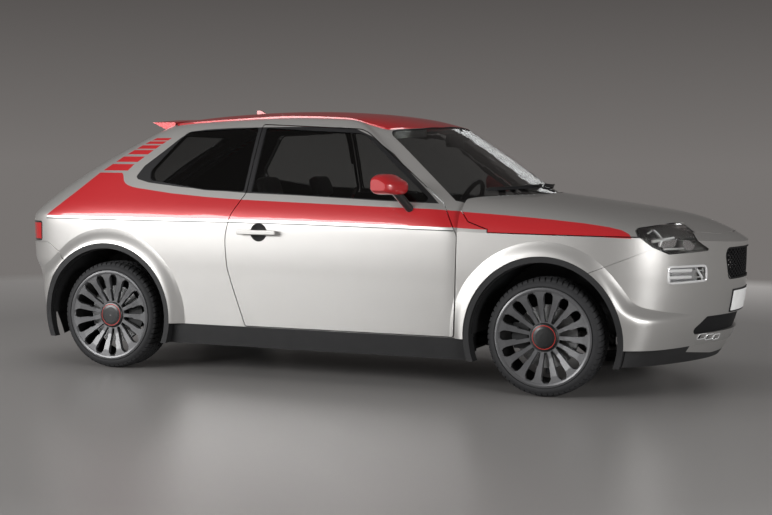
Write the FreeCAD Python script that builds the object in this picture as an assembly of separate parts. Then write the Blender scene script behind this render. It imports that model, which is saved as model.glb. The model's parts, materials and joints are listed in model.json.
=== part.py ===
"""Three-door rally hatchback, an assembly of panels, glass, cabin, running gear and lamps.

Frame: +X is the nose, +Y the car's left side, +Z up. The origin is on the ground, halfway along the length.
Lengths are in millimetres, angles in degrees. Left-hand pieces are modelled and mirrored to the right.
Outlines and control points are shares: along x of half the length, across y of half the width, up z of
the roof height. Corner radii are shares of the roof height too.
"""

import FreeCAD, Part
import math
import os
from FreeCAD import Vector

# Overall size
LENGTH = 4080.0
HALF_WIDTH = 842.0
ROOF_HEIGHT = 1457.0
FRONT_OVERHANG = 870.0
REAR_OVERHANG = 690.0

# Wheels
TYRE_RADIUS = 300.5
TYRE_WIDTH = 205.0
TYRE_TUCK = 22.0
TYRE_CROWN = 7.0
TYRE_WAIST_SHARE = 0.45
TYRE_SHOULDER_SHARE = 0.80
BEAD_RADIUS = 236.0
RIM_RADIUS = 250.5
RIM_WALL = 9.0
RIM_BARREL_RADIUS = 226.0
SPOKE_COUNT = 15
SPOKE_THICK = 24.0
CAP_RADIUS = 72.0
CAP_STAND = 16.0
CAP_RING_RADIUS = 61.0
CAP_RING_WIDTH = 4.0
CAP_RING_DEPTH = 1.5
HUB_RADIUS = 78.0
HUB_LENGTH = 75.0
DISH = 30.0
DISC_RADIUS = 160.0
DISC_THICK = 24.0
BEARING_RADIUS = 22.0

# One spoke seen square to the wheel: how far out and how far to its side, as shares of the barrel radius
SPOKE_SHARES = [
    (0.28, -0.040), (0.62, -0.046), (0.66, -0.072), (0.86, -0.082), (0.94, -0.105), (1.03, -0.200),
    (1.03, 0.165), (0.94, 0.078), (0.86, 0.058), (0.28, 0.036),
]
# How the spokes' face sinks from the rim to the hub: radius as a share of the barrel's, depth of the dish
DISH_SHARES = [(1.04, 0.05), (0.88, 0.20), (0.66, 0.58), (0.48, 0.88), (0.30, 1.00)]
CAP_SHARES = [(1.00, 0.25), (0.93, 0.55), (0.60, 0.88), (0.30, 0.98), (0.00, 1.00)]

# Brake calipers
CALIPER_HEIGHT = 130.0
CALIPER_WALL = 14.0

# Steering
KNUCKLE_THICK = 34.0
KNUCKLE_HALF = 70.0
STEERING_WHEEL_RADIUS = 178.0
STEERING_WHEEL_TUBE = 14.0
STEERING_WHEEL_TILT = 24.0
COLUMN_RADIUS = 22.0
DRIVER_Y = 350.0

# Gaps and overrun
PANEL_GAP = 5.0
SEAT_GAP = 0.3
OVERRUN = 400.0
TOUCH = 1e-6

# Walls
SKIN = 9.0
FRAME_DEPTH = 45.0
DOOR_DEPTH = 80.0
WINDOW_FRAME_DEPTH = 24.0
GLASS_INSET = 5.0
GLASS = 4.0
ROOF_DEPTH = 24.0
BONNET_DEPTH = 14.0
TAILGATE_DEPTH = 28.0
BUMPER_DEPTH = 14.0
FLANGE_DEPTH = 18.0
FLANGE_LAP = 12.0
DOOR_REBATE = 15.0
DOOR_INSET = 8.0
TAIL_LAMP_INSET = 2.0
SKIRT_DEPTH = 40.0
SILL_DEPTH = 130.0
PLATE = 12.0

# Wheel arches
ARCH_RADIUS = 408.0
ARCH_LIP = 30.0
ARCH_LIP_DEPTH = 60.0
ARCH_LIP_INSET = 6.0
FLARE_STAND = 20.0
LINER_WALL = 5.0
LINER_INNER_Y = 440.0

HALF_LENGTH = LENGTH / 2
FRONT_AXLE_X = HALF_LENGTH - FRONT_OVERHANG
REAR_AXLE_X = REAR_OVERHANG - HALF_LENGTH
TYRE_FACE_Y = HALF_WIDTH - TYRE_TUCK
WHEEL_Y = TYRE_FACE_Y - TYRE_WIDTH / 2
WHEEL_PLACES = [
    ("front_left", FRONT_AXLE_X, 1),
    ("front_right", FRONT_AXLE_X, -1),
    ("rear_left", REAR_AXLE_X, 1),
    ("rear_right", REAR_AXLE_X, -1),
]

# Plan of the body at its widest, from the middle of the nose round to the middle of the tail
PLAN_SHARES = [
    (1.000, 0.000), (0.996, 0.142), (0.980, 0.315), (0.953, 0.500), (0.917, 0.677),
    (0.865, 0.831), (0.799, 0.938), (0.711, 0.990), (0.613, 1.000), (0.520, 1.000), (0.422, 1.000),
    (0.314, 1.000), (0.221, 1.000), (0.113, 1.000), (-0.024, 1.000), (-0.172, 1.000), (-0.319, 0.998),
    (-0.466, 0.993), (-0.613, 0.986), (-0.735, 0.974), (-0.833, 0.950), (-0.907, 0.914),
    (-0.956, 0.831), (-0.980, 0.677), (-0.993, 0.440), (-0.999, 0.166), (-1.000, 0.000),
]

# Levels below the crease: height, then how far the nose, the tail and the side stand back
LOWER_SHARES = [
    (0.114, 0.069, 0.093, 0.040),
    (0.150, 0.052, 0.086, 0.032),
    (0.190, 0.034, 0.076, 0.022),
    (0.254, 0.016, 0.051, 0.014),
    (0.335, 0.006, 0.028, 0.006),
    (0.382, 0.003, 0.022, 0.003),
    (0.402, 0.002, 0.008, 0.001),
    (0.440, 0.000, 0.006, -0.002),
    (0.494, 0.000, 0.004, -0.002),
]
NOSE_TAPER_SHARES = (0.69, 0.93)
TAIL_TAPER_SHARES = (-0.74, -0.96)
CREASE_SHARES = [
    (-1.000, 0.580), (-0.843, 0.581), (-0.285, 0.579), (0.202, 0.571), (0.351, 0.561),
    (0.807, 0.555), (0.931, 0.542), (1.000, 0.529),
]

# Foot of the windscreen, hidden under the bonnet, and round the front pillar to the crease
SCREEN_FOOT_SHARES = [
    (0.623, 0.000), (0.619, 0.178), (0.605, 0.356), (0.583, 0.523), (0.552, 0.665), (0.512, 0.784),
    (0.471, 0.873), (0.431, 0.932), (0.400, 0.968), (0.373, 0.988), (0.343, 0.999),
]

# Edge of the roof, from the middle of the header round to the middle of its rear edge
EAVES_SHARES = [
    (0.209, 0.000, 0.938), (0.207, 0.131, 0.938), (0.202, 0.255, 0.936), (0.193, 0.368, 0.933),
    (0.180, 0.469, 0.929), (0.164, 0.552, 0.926), (0.143, 0.612, 0.924), (0.121, 0.647, 0.924),
    (0.096, 0.663, 0.928), (0.069, 0.665, 0.938), (0.042, 0.665, 0.948), (0.015, 0.663, 0.963),
    (-0.029, 0.663, 0.967), (-0.098, 0.663, 0.971), (-0.172, 0.663, 0.973), (-0.245, 0.662, 0.969),
    (-0.314, 0.659, 0.964), (-0.382, 0.656, 0.959), (-0.441, 0.652, 0.954), (-0.485, 0.645, 0.950),
    (-0.515, 0.630, 0.947), (-0.532, 0.594, 0.947), (-0.543, 0.534, 0.950), (-0.550, 0.428, 0.957),
    (-0.555, 0.297, 0.963), (-0.558, 0.143, 0.968), (-0.559, 0.000, 0.968),
]
RISE_SHARES = [0.0, 0.05, 0.13, 0.25, 0.42, 0.62, 0.80, 0.92, 1.0]
SIDE_INSET_SHARES = [0.0, 0.015, 0.06, 0.17, 0.33, 0.51, 0.69, 0.82, 1.0]
TAIL_INSET_SHARES = [0.0, 0.03, 0.085, 0.175, 0.33, 0.53, 0.755, 0.90, 1.0]
SCREEN_INSET_SHARES = [0.0, 0.05, 0.13, 0.245, 0.41, 0.605, 0.78, 0.905, 1.0]
EAVES_REACH_SHARES = [0.12, 0.30]
EAVES_RISE_SHARES = [0.22, 0.51]
EAVES_CORNERS = (8, 20)

# Middle line of the roof, rear to front, and how the roof rises to it from the eaves
SPINE_SHARES = [
    (-0.559, 0.968), (-0.450, 0.985), (-0.312, 0.997), (-0.210, 1.000), (-0.112, 0.998),
    (0.037, 0.986), (0.153, 0.961), (0.209, 0.938),
]
ROOF_RISE_SHARES = [0.0, 0.24, 0.44, 0.61, 0.75, 0.86, 0.94, 0.985, 1.0]
ROOF_SPARE_SHARE = 0.25

# Rear edge of the bonnet's surface, station by station from the middle to the front pillar
BONNET_BACK_SHARES = [
    (0.495, 0.000, 0.690), (0.493, 0.107, 0.690), (0.488, 0.214, 0.690), (0.479, 0.321, 0.689),
    (0.466, 0.428, 0.688), (0.448, 0.523, 0.688), (0.428, 0.612, 0.686), (0.406, 0.689, 0.684),
    (0.385, 0.754, 0.682), (0.364, 0.808, 0.679), (0.343, 0.849, 0.675), (0.319, 0.885, 0.670),
    (0.265, 0.938, 0.664),
]
BONNET_REACH_SHARES = [0.0, 0.05, 0.12, 0.25, 0.45, 0.70, 1.0]
BONNET_NOSE_RISE_SHARES = [0.0, 0.15, 0.31, 0.53, 0.69, 0.82, 1.0]
BONNET_SIDE_RISE_SHARES = [0.0, 0.12, 0.26, 0.44, 0.66, 0.84, 1.0]

# Raised band round each arch, from its foot at the car's end up and over to its foot at the sill:
# degrees up from the end of the car, radius of its outer edge and height of its lip as shares of the
# arch radius and the flare's stand, and how far its shoulder has softened
FRONT_FLARE_SHARES = [
    (-32, 1.620, -1.0, 1.0), (-20, 1.700, -1.0, 1.0), (-8, 1.760, -0.8, 1.0), (2, 1.780, -0.4, 0.9),
    (8, 1.780, 0.0, 0.8), (11, 1.760, 0.2, 0.6), (15.5, 1.450, 0.5, 0.35), (21.5, 1.200, 0.8, 0.1),
    (30, 1.175, 1.0, 0.0), (42, 1.185, 1.0, 0.0), (54, 1.215, 1.0, 0.0),
]
REAR_FLARE_SHARES = [
    (-32, 1.200, -0.6, 0.9), (-20, 1.230, -0.5, 0.9), (-8, 1.240, -0.3, 0.8), (4, 1.270, 0.0, 0.7),
    (14, 1.330, 0.3, 0.5), (22, 1.380, 0.5, 0.4), (28, 1.390, 0.7, 0.25), (33, 1.300, 0.9, 0.1),
    (42, 1.235, 1.0, 0.0), (54, 1.235, 1.0, 0.0),
]
FLARE_REST_SHARES = [
    (angle, 1.235, 1.0, 0.0) for angle in (66, 78, 90, 102, 114, 126, 138, 150, 162, 174, 186, 198, 212)
]
BAND_ROW_SHARES = [0.0, 0.2, 0.4, 0.6, 0.8, 1.0]
BAND_TIGHT_SHARES = [1.0, 1.0, 0.86, 0.50, 0.14, 0.0]
BAND_WIDE_SHARES = [1.0, 0.80, 0.58, 0.36, 0.15, 0.0]
BAND_SPARE_SHARE = 0.94
LIP_SPARE_SHARE = 0.86

# Outlines seen from the side: x, z, corner radius
DOOR_SHARES = [
    (0.344, 0.194, 0.010), (0.351, 0.549, 0.041), (0.303, 0.657, 0.014), (0.058, 0.920, 0.103),
    (-0.240, 0.939, 0.007), (-0.245, 0.685, 0.028), (-0.280, 0.603, 0.082), (-0.296, 0.526, 0.206),
    (-0.289, 0.404, 0.206), (-0.239, 0.194, 0.010),
]
DOOR_GLASS_SHARES = [
    (0.280, 0.658, 0.012), (0.060, 0.906, 0.093), (-0.230, 0.927, 0.010), (-0.234, 0.686, 0.010),
]
QUARTER_GLASS_SHARES = [
    (-0.251, 0.928, 0.010), (-0.254, 0.687, 0.010), (-0.373, 0.692, 0.343), (-0.576, 0.729, 0.031),
    (-0.471, 0.914, 0.048),
]
HEADLAMP_SHARES = [
    (0.788, 0.582, 0.004), (0.863, 0.599, 0.010), (0.906, 0.564, 0.010), (0.946, 0.507, 0.006),
    (0.865, 0.498, 0.010), (0.830, 0.523, 0.010), (0.801, 0.557, 0.010),
]
FOG_SHARES = [
    (0.863, 0.458, 0.006), (0.960, 0.462, 0.006), (0.958, 0.404, 0.006), (0.865, 0.397, 0.006),
]
PILLAR_FOOT_SHARES = [
    (0.300, 0.700), (0.341, 0.657), (0.378, 0.596), (0.430, 0.571), (0.430, 0.500), (0.300, 0.500),
]
FRONT_SPLIT_SHARES = [(0.674, 0.427), (0.836, 0.520)]
REAR_SPLIT_SHARES = [(-0.782, 0.407), (-0.873, 0.482)]
TAIL_LAMP_SHARES = [
    (-0.897, 0.562, 0.010), (-1.100, 0.562, 0.010), (-1.100, 0.484, 0.010), (-0.897, 0.484, 0.010),
]

# Outlines seen from the front or rear: y, z, corner radius
GRILLE_SHARES = [(0.395, 0.514, 0.030), (0.330, 0.400, 0.030)]
TAILGATE_FOOT_HALF_SHARE = 0.600
REAR_SCREEN_ROOM_SHARE = -0.500
TAILGATE_SHARES = [(0.700, 0.600, 0.060), (0.590, 0.945, 0.060), (0.560, 1.050)]
REAR_SCREEN_SHARES = [(0.590, 0.640, 0.050), (0.490, 0.905, 0.050)]

# Outlines seen from above: x, y, corner radius as a share of the roof height
SCREEN_SHARES = [
    (0.207, 0.000), (0.202, 0.255, 0.200), (0.172, 0.520, 0.200), (0.112, 0.672, 0.020),
    (0.330, 0.862), (0.375, 0.830), (0.600, 0.800), (0.700, 0.000),
]
ROOF_SHARES = [
    (0.207, 0.000), (0.202, 0.255, 0.200), (0.172, 0.520, 0.200), (0.112, 0.658, 0.040),
    (-0.172, 0.665, 3.000), (-0.534, 0.650, 0.020), (-0.534, 0.000),
]
BONNET_SHARES = [
    (0.493, 0.000), (0.488, 0.214, 0.300), (0.448, 0.523, 0.500), (0.385, 0.754, 0.500),
    (0.357, 0.840, 0.020), (0.357, 1.100), (0.830, 1.100), (0.900, 0.560), (0.950, 0.300, 0.300),
    (0.962, 0.000),
]

# Lower intake and the slots below it, seen from the front: y, z, corner radius
SLOT_SHARES = [(0.300, 0.196), (0.390, 0.200), (0.480, 0.206)]
SLOT_HALF_SHARE = 0.036
SLOT_HEIGHT_SHARE = 0.016
INTAKE_HALF_SHARES = [(0.500, 0.278, 0.014), (0.600, 0.232, 0.014), (0.560, 0.216, 0.014)]

# Grille and lamps
MESH_PITCH = 40.0
MESH_BAR = 5.0
MESH_SLOPE_SHARE = 0.62
GRILLE_RIM = 9.0
GRILLE_DEPTH = 16.0
INTAKE_WALL = 6.0
GRILLE_ROOM_SHARE = 0.800
LAMP_POD_RADIUS = 36.0
LAMP_POD_WALL = 5.0
LAMP_POD_LENGTH = 190.0
LAMP_POD_DISH = 60.0
LAMP_POD_SHARES = [(0.872, 0.775, 0.541), (0.905, 0.650, 0.534)]
LAMP_INNER_SHARE = 0.45
LAMP_RIM = 6.0
FOG_BAR = 7.0
FOG_BARS = 2
FOG_INNER_SHARE = 0.58
FOG_OUTER_SHARE = 0.90
TAIL_LAMP_INNER_SHARE = 0.60

# How the control nets blend: stations from the middle of the nose, and places their walls face away from
SCREEN_BLEND = 3
TAIL_BLEND_START = 18
TAIL_BLEND = 5
BONNET_BLEND = 7
CORE_SHARE = 0.4
BONNET_CORE_SHARES = (0.5, 0.3)
CORNER_ROOM_SHARE = 0.49
MITRE_SHARE = 0.35

# Heights of the lower trims
SKIRT_TOP_SHARE = 0.190
SPLITTER_TOP_SHARE = 0.176
VALANCE_TOP_SHARE = 0.215
SILL_SHARE = 0.200
FLOOR_SHARE = 0.137
BELT_SHARE = 0.672

# Floor and structure
FLOOR_HALF_SHARE = 0.860
TUNNEL_HALF = 92.0
TUNNEL_HEIGHT = 130.0
SILL_WIDTH = 110.0
SILL_HEIGHT = 150.0
PILLAR_TOP_SHARE = 0.545
HINGE_POST_WIDTH = 36.0
HINGE_HEIGHT = 60.0
HINGE_SHARES = (0.28, 0.46)
TAILGATE_HINGE_Y = 340.0
BULKHEAD_SHARE = 0.430
BOOT_SHARE = 0.300
BOOT_REAR_SHARE = -0.900
BOOT_HALF_SHARE = 0.500
RAIL_Y = 400.0
RAIL_WIDTH = 60.0
RAIL_HEIGHT = 90.0
RAIL_Z = 330.0
RAIL_FRONT_SHARE = 0.885
BEAM_DEPTH = 40.0
BEAM_RADIUS = 40.0
ARM_HEIGHT = 26.0
BALL_RADIUS = 18.0
BALL_HEIGHT = 24.0
TRAILING_ARM_Y = 370.0
TRAILING_ARM_WIDTH = 45.0
TRAILING_ARM_HEIGHT = 56.0

# Cabin
SEAT_WIDTH = 500.0
SEAT_LENGTH = 500.0
SEAT_BASE = 150.0
SEAT_BACK = 560.0
SEAT_BACK_THICK = 120.0
SEAT_RAKE = 20.0
SEAT_FRONT_X = 180.0
SEAT_BASE_Z = 290.0
SEAT_RADIUS = 40.0
HEAD_WIDTH = 260.0
HEAD_HEIGHT = 170.0
HEAD_THICK = 80.0
BENCH_HALF = 480.0
BENCH_LENGTH = 330.0
BENCH_BACK = 400.0
BENCH_FOOT = 128.0
DASH_DEPTH = 330.0
DASH_HEIGHT = 300.0
DASH_TOP_SHARE = 0.655
COWL_HALF_SHARE = 0.600
DASH_HALF_SHARE = 0.750
ENGINE_LENGTH = 520.0
ENGINE_HALF = 330.0
ENGINE_HEIGHT = 450.0

# Door furniture
MIRROR_X = 390.0
MIRROR_Z = 1050.0
MIRROR_Y = 925.0
MIRROR_LENGTH = 150.0
MIRROR_WIDTH = 190.0
MIRROR_HEIGHT = 115.0
MIRROR_ARM = 44.0
MIRROR_REACH = 165.0
MIRROR_ROUND_SHARE = 0.55
MIRROR_FLAT_SHARE = 0.85
MIRROR_NOSE_SHARE = 0.25
MIRROR_SHARES = [
    (-0.50, 0.80, 0.00), (-0.36, 0.93, 0.00), (-0.10, 1.00, 0.02), (0.18, 0.94, 0.06), (0.38, 0.78, 0.12),
    (0.50, 0.52, 0.20),
]
HANDLE_CUP_RADIUS = 62.0
HANDLE_CUP_DEPTH = 24.0
HANDLE_LENGTH = 230.0
HANDLE_HEIGHT = 26.0
HANDLE_STAND = 38.0
HANDLE_THICK = 15.0
HANDLE_FOOT = 34.0
HANDLE_X = -400.0
HANDLE_Z = 790.0

# Spoiler
SPOILER_HALF_SHARE = 0.600
SPOILER_REACH = 150.0
SPOILER_LIP = 20.0
SPOILER_STAND = 5.0
SPOILER_DROP = 12.0
SPOILER_GAP = 15.0
SPOILER_EDGE_SHARE = 0.952
SPOILER_CROWN = 6000.0

# Roof fin
FIN_X = -790.0
FIN_LENGTH = 90.0
FIN_HEIGHT = 26.0
FIN_WIDTH = 22.0


def along(share):
    return share * HALF_LENGTH


def across(share):
    return share * HALF_WIDTH


def up(share):
    return share * ROOF_HEIGHT


def lerp(a, b, t):
    return a + (b - a) * t


def smooth(t):
    t = max(0.0, min(1.0, t))
    return t * t * (3 - 2 * t)


def through(table, place):
    """Straight-line reading of a table of (place, value) pairs in rising order of place."""
    if place <= table[0][0]:
        return table[0][1]
    for (x0, v0), (x1, v1) in zip(table, table[1:]):
        if place <= x1:
            return lerp(v0, v1, (place - x0) / (x1 - x0))
    return table[-1][1]


# Surfaces from control nets

def knot_list(count, degree):
    inner = count - degree
    knots = [float(k) for k in range(inner + 1)]
    mults = [degree + 1] + [1] * (inner - 1) + [degree + 1]
    return knots, mults


def net_face(net, degree_u=3, degree_v=3):
    """B-spline face on a grid of control points, clamped at its four edges."""
    degree_u = min(degree_u, len(net) - 1)
    degree_v = min(degree_v, len(net[0]) - 1)
    u_knots, u_mults = knot_list(len(net), degree_u)
    v_knots, v_mults = knot_list(len(net[0]), degree_v)
    surface = Part.BSplineSurface()
    surface.buildFromPolesMultsKnots(
        net, u_mults, v_mults, u_knots, v_knots, False, False, degree_u, degree_v
    )
    return surface.toShape()


def close_solid(faces):
    """One solid from faces that meet edge to edge."""
    skin = Part.makeCompound(faces)
    skin.sewShape()
    solid = Part.Solid(skin.Shells[0])
    if solid.Volume < 0:
        solid.reverse()
    return solid


def slab(outer, inner):
    """Solid wall between two control nets of the same size."""
    faces = [net_face(outer), net_face(inner)]
    for k in (0, -1):
        faces.append(net_face([outer[k], inner[k]], 1, 3))
        faces.append(net_face([[row[k] for row in outer], [row[k] for row in inner]], 1, 3))
    return close_solid(faces)


def net_normals(net, core):
    """Unit directions square to the net at each point, turned away from the car's core."""
    rows = len(net)
    columns = len(net[0])
    out = []
    for i in range(rows):
        line = []
        for j in range(columns):
            here = net[i][j]
            du = net[min(i + 1, rows - 1)][j] - net[max(i - 1, 0)][j]
            dv = net[i][min(j + 1, columns - 1)] - net[i][max(j - 1, 0)]
            n = du.cross(dv)
            if abs(here.y) < SEAT_GAP:
                n.y = 0
            n = n.normalize()
            if n.dot(here - core) < 0:
                n = n * -1.0
            line.append(n)
        out.append(line)
    return out


def moved(net, normals, depth):
    return [
        [p - n * depth for p, n in zip(row, line)] for row, line in zip(net, normals)
    ]


def mirrored(shape):
    return shape.mirror(Vector(0, 0, 0), Vector(0, 1, 0))


def both(shape):
    return Part.makeCompound([shape, mirrored(shape)])


def sides(shape):
    return [shape, mirrored(shape)]


def symmetric(points):
    """Outline given from the middle line round the left side, closed on the right."""
    return points + [(p[0], -p[1], *p[2:]) for p in reversed(points) if p[1] > 0]


def symmetric_front(points):
    return points + [(-p[0], *p[1:]) for p in reversed(points) if p[0] > 0]


def biggest(shape):
    return max(shape.Solids, key=lambda s: s.Volume)


# Cutting tools: prisms on an outline seen from the side, from above or from the front

def corner_marks(points):
    """Line ends and arcs of a closed outline. A third number on a point is its corner radius."""
    marks = []
    count = len(points)
    for k, p in enumerate(points):
        here = Vector(p[0], p[1], 0)
        radius = p[2] if len(p) > 2 else 0.0
        if radius <= 0:
            marks.append((here, None, here))
            continue
        before = Vector(points[k - 1][0], points[k - 1][1], 0)
        after = Vector(points[(k + 1) % count][0], points[(k + 1) % count][1], 0)
        a = (before - here).normalize()
        b = (after - here).normalize()
        half = math.acos(max(-1.0, min(1.0, a.dot(b)))) / 2
        room = min((before - here).Length, (after - here).Length) * CORNER_ROOM_SHARE
        reach = min(radius / math.tan(half), room)
        radius = reach * math.tan(half)
        middle = here + (a + b).normalize() * (radius / math.sin(half))
        towards = (here - middle).normalize()
        marks.append((here + a * reach, middle + towards * radius, here + b * reach))
    return marks


def outline_face(points, turn):
    marks = corner_marks(points)
    edges = []
    for k, (start, bend, end) in enumerate(marks):
        if bend is not None:
            edges.append(Part.Arc(turn(start), turn(bend), turn(end)).toShape())
        following = marks[(k + 1) % len(marks)][0]
        if (following - end).Length > TOUCH:
            edges.append(Part.LineSegment(turn(end), turn(following)).toShape())
    return Part.Face(Part.Wire(edges))


def side_prism(points, y0=None, y1=None):
    """Prism across the car from an outline of (x, z, corner radius)."""
    y1 = HALF_WIDTH + OVERRUN if y1 is None else y1
    y0 = -y1 if y0 is None else y0
    face = outline_face(points, lambda v: Vector(v.x, y0, v.y))
    return face.extrude(Vector(0, y1 - y0, 0))


def plan_prism(points, z0, z1):
    face = outline_face(points, lambda v: Vector(v.x, v.y, z0))
    return face.extrude(Vector(0, 0, z1 - z0))


def front_prism(points, x0, x1):
    face = outline_face(points, lambda v: Vector(x0, v.x, v.y))
    return face.extrude(Vector(x1 - x0, 0, 0))


def side_points(shares):
    return [(along(s[0]), up(s[1]), up(s[2]) if len(s) > 2 else 0.0) for s in shares]


def plan_points(shares):
    return [(along(s[0]), across(s[1]), up(s[2]) if len(s) > 2 else 0.0) for s in shares]


def front_points(shares):
    return [(across(s[0]), up(s[1]), up(s[2]) if len(s) > 2 else 0.0) for s in shares]


def grown(points, amount):
    """Outline moved outwards by an amount. Its corner radii follow."""
    count = len(points)
    area = 0.0
    for k in range(count):
        p, n = points[k], points[(k + 1) % count]
        area += p[0] * n[1] - n[0] * p[1]
    turn = 1.0 if area > 0 else -1.0
    out = []
    for k in range(count):
        p, here, n = points[k - 1], points[k], points[(k + 1) % count]
        a = Vector(here[0] - p[0], here[1] - p[1], 0).normalize()
        b = Vector(n[0] - here[0], n[1] - here[1], 0).normalize()
        square_a = Vector(a.y, -a.x, 0) * turn
        square_b = Vector(b.y, -b.x, 0) * turn
        mid = (square_a + square_b).normalize()
        reach = amount / max(MITRE_SHARE, mid.dot(square_a))
        radius = here[2] if len(here) > 2 else 0.0
        if radius > 0:
            convex = (a.x * b.y - a.y * b.x) * turn > 0
            radius = max(0.0, radius + (amount if convex else -amount))
        out.append((here[0] + mid.x * reach, here[1] + mid.y * reach, radius))
    return out


def box(x0, x1, y0, y1, z0, z1, radius=0.0):
    """Block between two corners, all its edges rounded if a radius is given."""
    solid = Part.makeBox(x1 - x0, y1 - y0, z1 - z0, Vector(x0, y0, z0))
    if radius > 0:
        solid = solid.makeFillet(radius, solid.Edges)
    return solid


def rod(a, b, radius):
    return Part.makeCylinder(radius, (b - a).Length, a, b - a)


def turned(x, profile):
    """Solid turned about a wheel's axle line at x. The profile is a closed list of (radius, y)."""
    points = [Vector(x + r, y, TYRE_RADIUS) for r, y in profile]
    face = Part.Face(Part.makePolygon(points + [points[0]]))
    return face.revolve(Vector(x, 0, TYRE_RADIUS), Vector(0, 1, 0), 360)


# The body's outer surface

def crease_height(x):
    return up(through(CREASE_SHARES, x / HALF_LENGTH))


def plan_row(nose_share, tail_share, side_share):
    points = []
    for share_x, share_y in PLAN_SHARES:
        nose = smooth((share_x - NOSE_TAPER_SHARES[0]) / (NOSE_TAPER_SHARES[1] - NOSE_TAPER_SHARES[0]))
        tail = smooth((TAIL_TAPER_SHARES[0] - share_x) / (TAIL_TAPER_SHARES[0] - TAIL_TAPER_SHARES[1]))
        x = along(share_x - nose_share * nose + tail_share * tail)
        points.append((x, across(share_y * (1 - side_share))))
    return points


def crease_row():
    return [Vector(x, y, crease_height(x)) for x, y in plan_row(0.0, 0.0, 0.0)]


def lower_net():
    net = []
    for height, nose, tail, side in LOWER_SHARES:
        net.append([Vector(x, y, up(height)) for x, y in plan_row(nose, tail, side)])
    net.append(crease_row())
    return net


def foot_row():
    """Lowest row of the glasshouse: under the windscreen, then along the crease."""
    row = crease_row()
    for k, (x, y) in enumerate(SCREEN_FOOT_SHARES):
        row[k] = Vector(along(x), across(y), crease_height(along(x)))
    return row


def inset_share(level, station):
    screen = smooth((len(SCREEN_FOOT_SHARES) + 1 - station) / SCREEN_BLEND)
    tail = smooth((station - TAIL_BLEND_START) / TAIL_BLEND)
    side = lerp(SIDE_INSET_SHARES[level], SCREEN_INSET_SHARES[level], screen)
    return lerp(side, TAIL_INSET_SHARES[level], tail)


def eaves_row():
    return [Vector(along(x), across(y), up(z)) for x, y, z in EAVES_SHARES]


def spine_point(x):
    return Vector(x, 0, up(through(SPINE_SHARES, x / HALF_LENGTH)))


def upper_net():
    """Control net from the crease up over the glasshouse and a little way onto the roof."""
    foot = foot_row()
    eaves = eaves_row()
    net = []
    for level, rise in enumerate(RISE_SHARES):
        row = []
        for k, (a, b) in enumerate(zip(foot, eaves)):
            inset = inset_share(level, k)
            row.append(Vector(lerp(a.x, b.x, inset), lerp(a.y, b.y, inset), lerp(a.z, b.z, rise)))
        net.append(row)
    middle = (eaves[0].x + eaves[-1].x) / 2
    for reach, rise in zip(EAVES_REACH_SHARES, EAVES_RISE_SHARES):
        row = []
        for b in eaves:
            s = spine_point(lerp(middle, b.x, 1 - reach / 2))
            row.append(Vector(lerp(b.x, s.x, reach), lerp(b.y, s.y, reach), lerp(b.z, s.z, rise)))
        net.append(row)
    return net


def side_net():
    """Control net of the whole side behind the front pillar, from the underside up over the eaves."""
    foot = foot_row()
    net = []
    for height, nose, tail, side in LOWER_SHARES:
        row = [Vector(x, y, up(height)) for x, y in plan_row(nose, tail, side)]
        for k in range(len(SCREEN_FOOT_SHARES)):
            row[k] = Vector(foot[k].x, foot[k].y * (1 - side), up(height))
        net.append(row)
    return net + upper_net()


def sampled(points, share):
    place = share * (len(points) - 1)
    k = min(int(place), len(points) - 2)
    return points[k] + (points[k + 1] - points[k]) * (place - k)


def spread(net):
    """The same net with its four edges moved outwards a little, to be trimmed again."""
    net = [[net[0][j] + (net[0][j] - net[1][j]) * ROOF_SPARE_SHARE for j in range(len(net[0]))]] + net[1:]
    net = net[:-1] + [[
        net[-1][j] + (net[-1][j] - net[-2][j]) * ROOF_SPARE_SHARE for j in range(len(net[0]))
    ]]
    return [
        [row[0] + (row[0] - row[1]) * ROOF_SPARE_SHARE] + row[1:-1]
        + [row[-1] + (row[-1] - row[-2]) * ROOF_SPARE_SHARE] for row in net
    ]


def roof_net():
    """Control net of the roof between the eaves on both sides, from the header to the rear edge."""
    eaves = eaves_row()
    first, last = EAVES_CORNERS
    header = eaves[first::-1]
    side = eaves[first:last + 1]
    rear = eaves[last:]
    columns = len(ROOF_RISE_SHARES)
    half = []
    for i, edge in enumerate(side):
        t = i / (len(side) - 1)
        spine = spine_point(lerp(eaves[0].x, eaves[-1].x, t))
        row = []
        for j, rise in enumerate(ROOF_RISE_SHARES):
            s = j / (columns - 1)
            front = sampled(header, s)
            back = sampled(rear, s)
            ends = front * (1 - t) + back * t
            sides = edge * (1 - s) + spine * s
            corners = (side[0] * (1 - s) + header[-1] * s) * (1 - t) + (side[-1] * (1 - s) + rear[-1] * s) * t
            point = ends + sides - corners
            front_lift = front.z - lerp(side[0].z, header[-1].z, rise)
            back_lift = back.z - lerp(side[-1].z, rear[-1].z, rise)
            point.z = lerp(edge.z, spine.z, rise) + (1 - t) * front_lift + t * back_lift
            row.append(point)
        half.append(row)
    return spread([row + [Vector(p.x, -p.y, p.z) for p in row[-2::-1]] for row in half])


def bonnet_net():
    """Control net from the crease and nose edge back to the foot of the windscreen."""
    edge = crease_row()[:len(BONNET_BACK_SHARES)]
    net = []
    for level, reach in enumerate(BONNET_REACH_SHARES):
        row = []
        for k, (a, back) in enumerate(zip(edge, BONNET_BACK_SHARES)):
            b = Vector(along(back[0]), across(back[1]), up(back[2]))
            side = smooth((k - 1) / BONNET_BLEND)
            rise = lerp(BONNET_NOSE_RISE_SHARES[level], BONNET_SIDE_RISE_SHARES[level], side)
            row.append(Vector(lerp(a.x, b.x, reach), lerp(a.y, b.y, reach), lerp(a.z, b.z, rise)))
        net.append(row)
    return net


def flipped(row):
    return [Vector(v.x, -v.y, v.z) for v in row]


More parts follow.
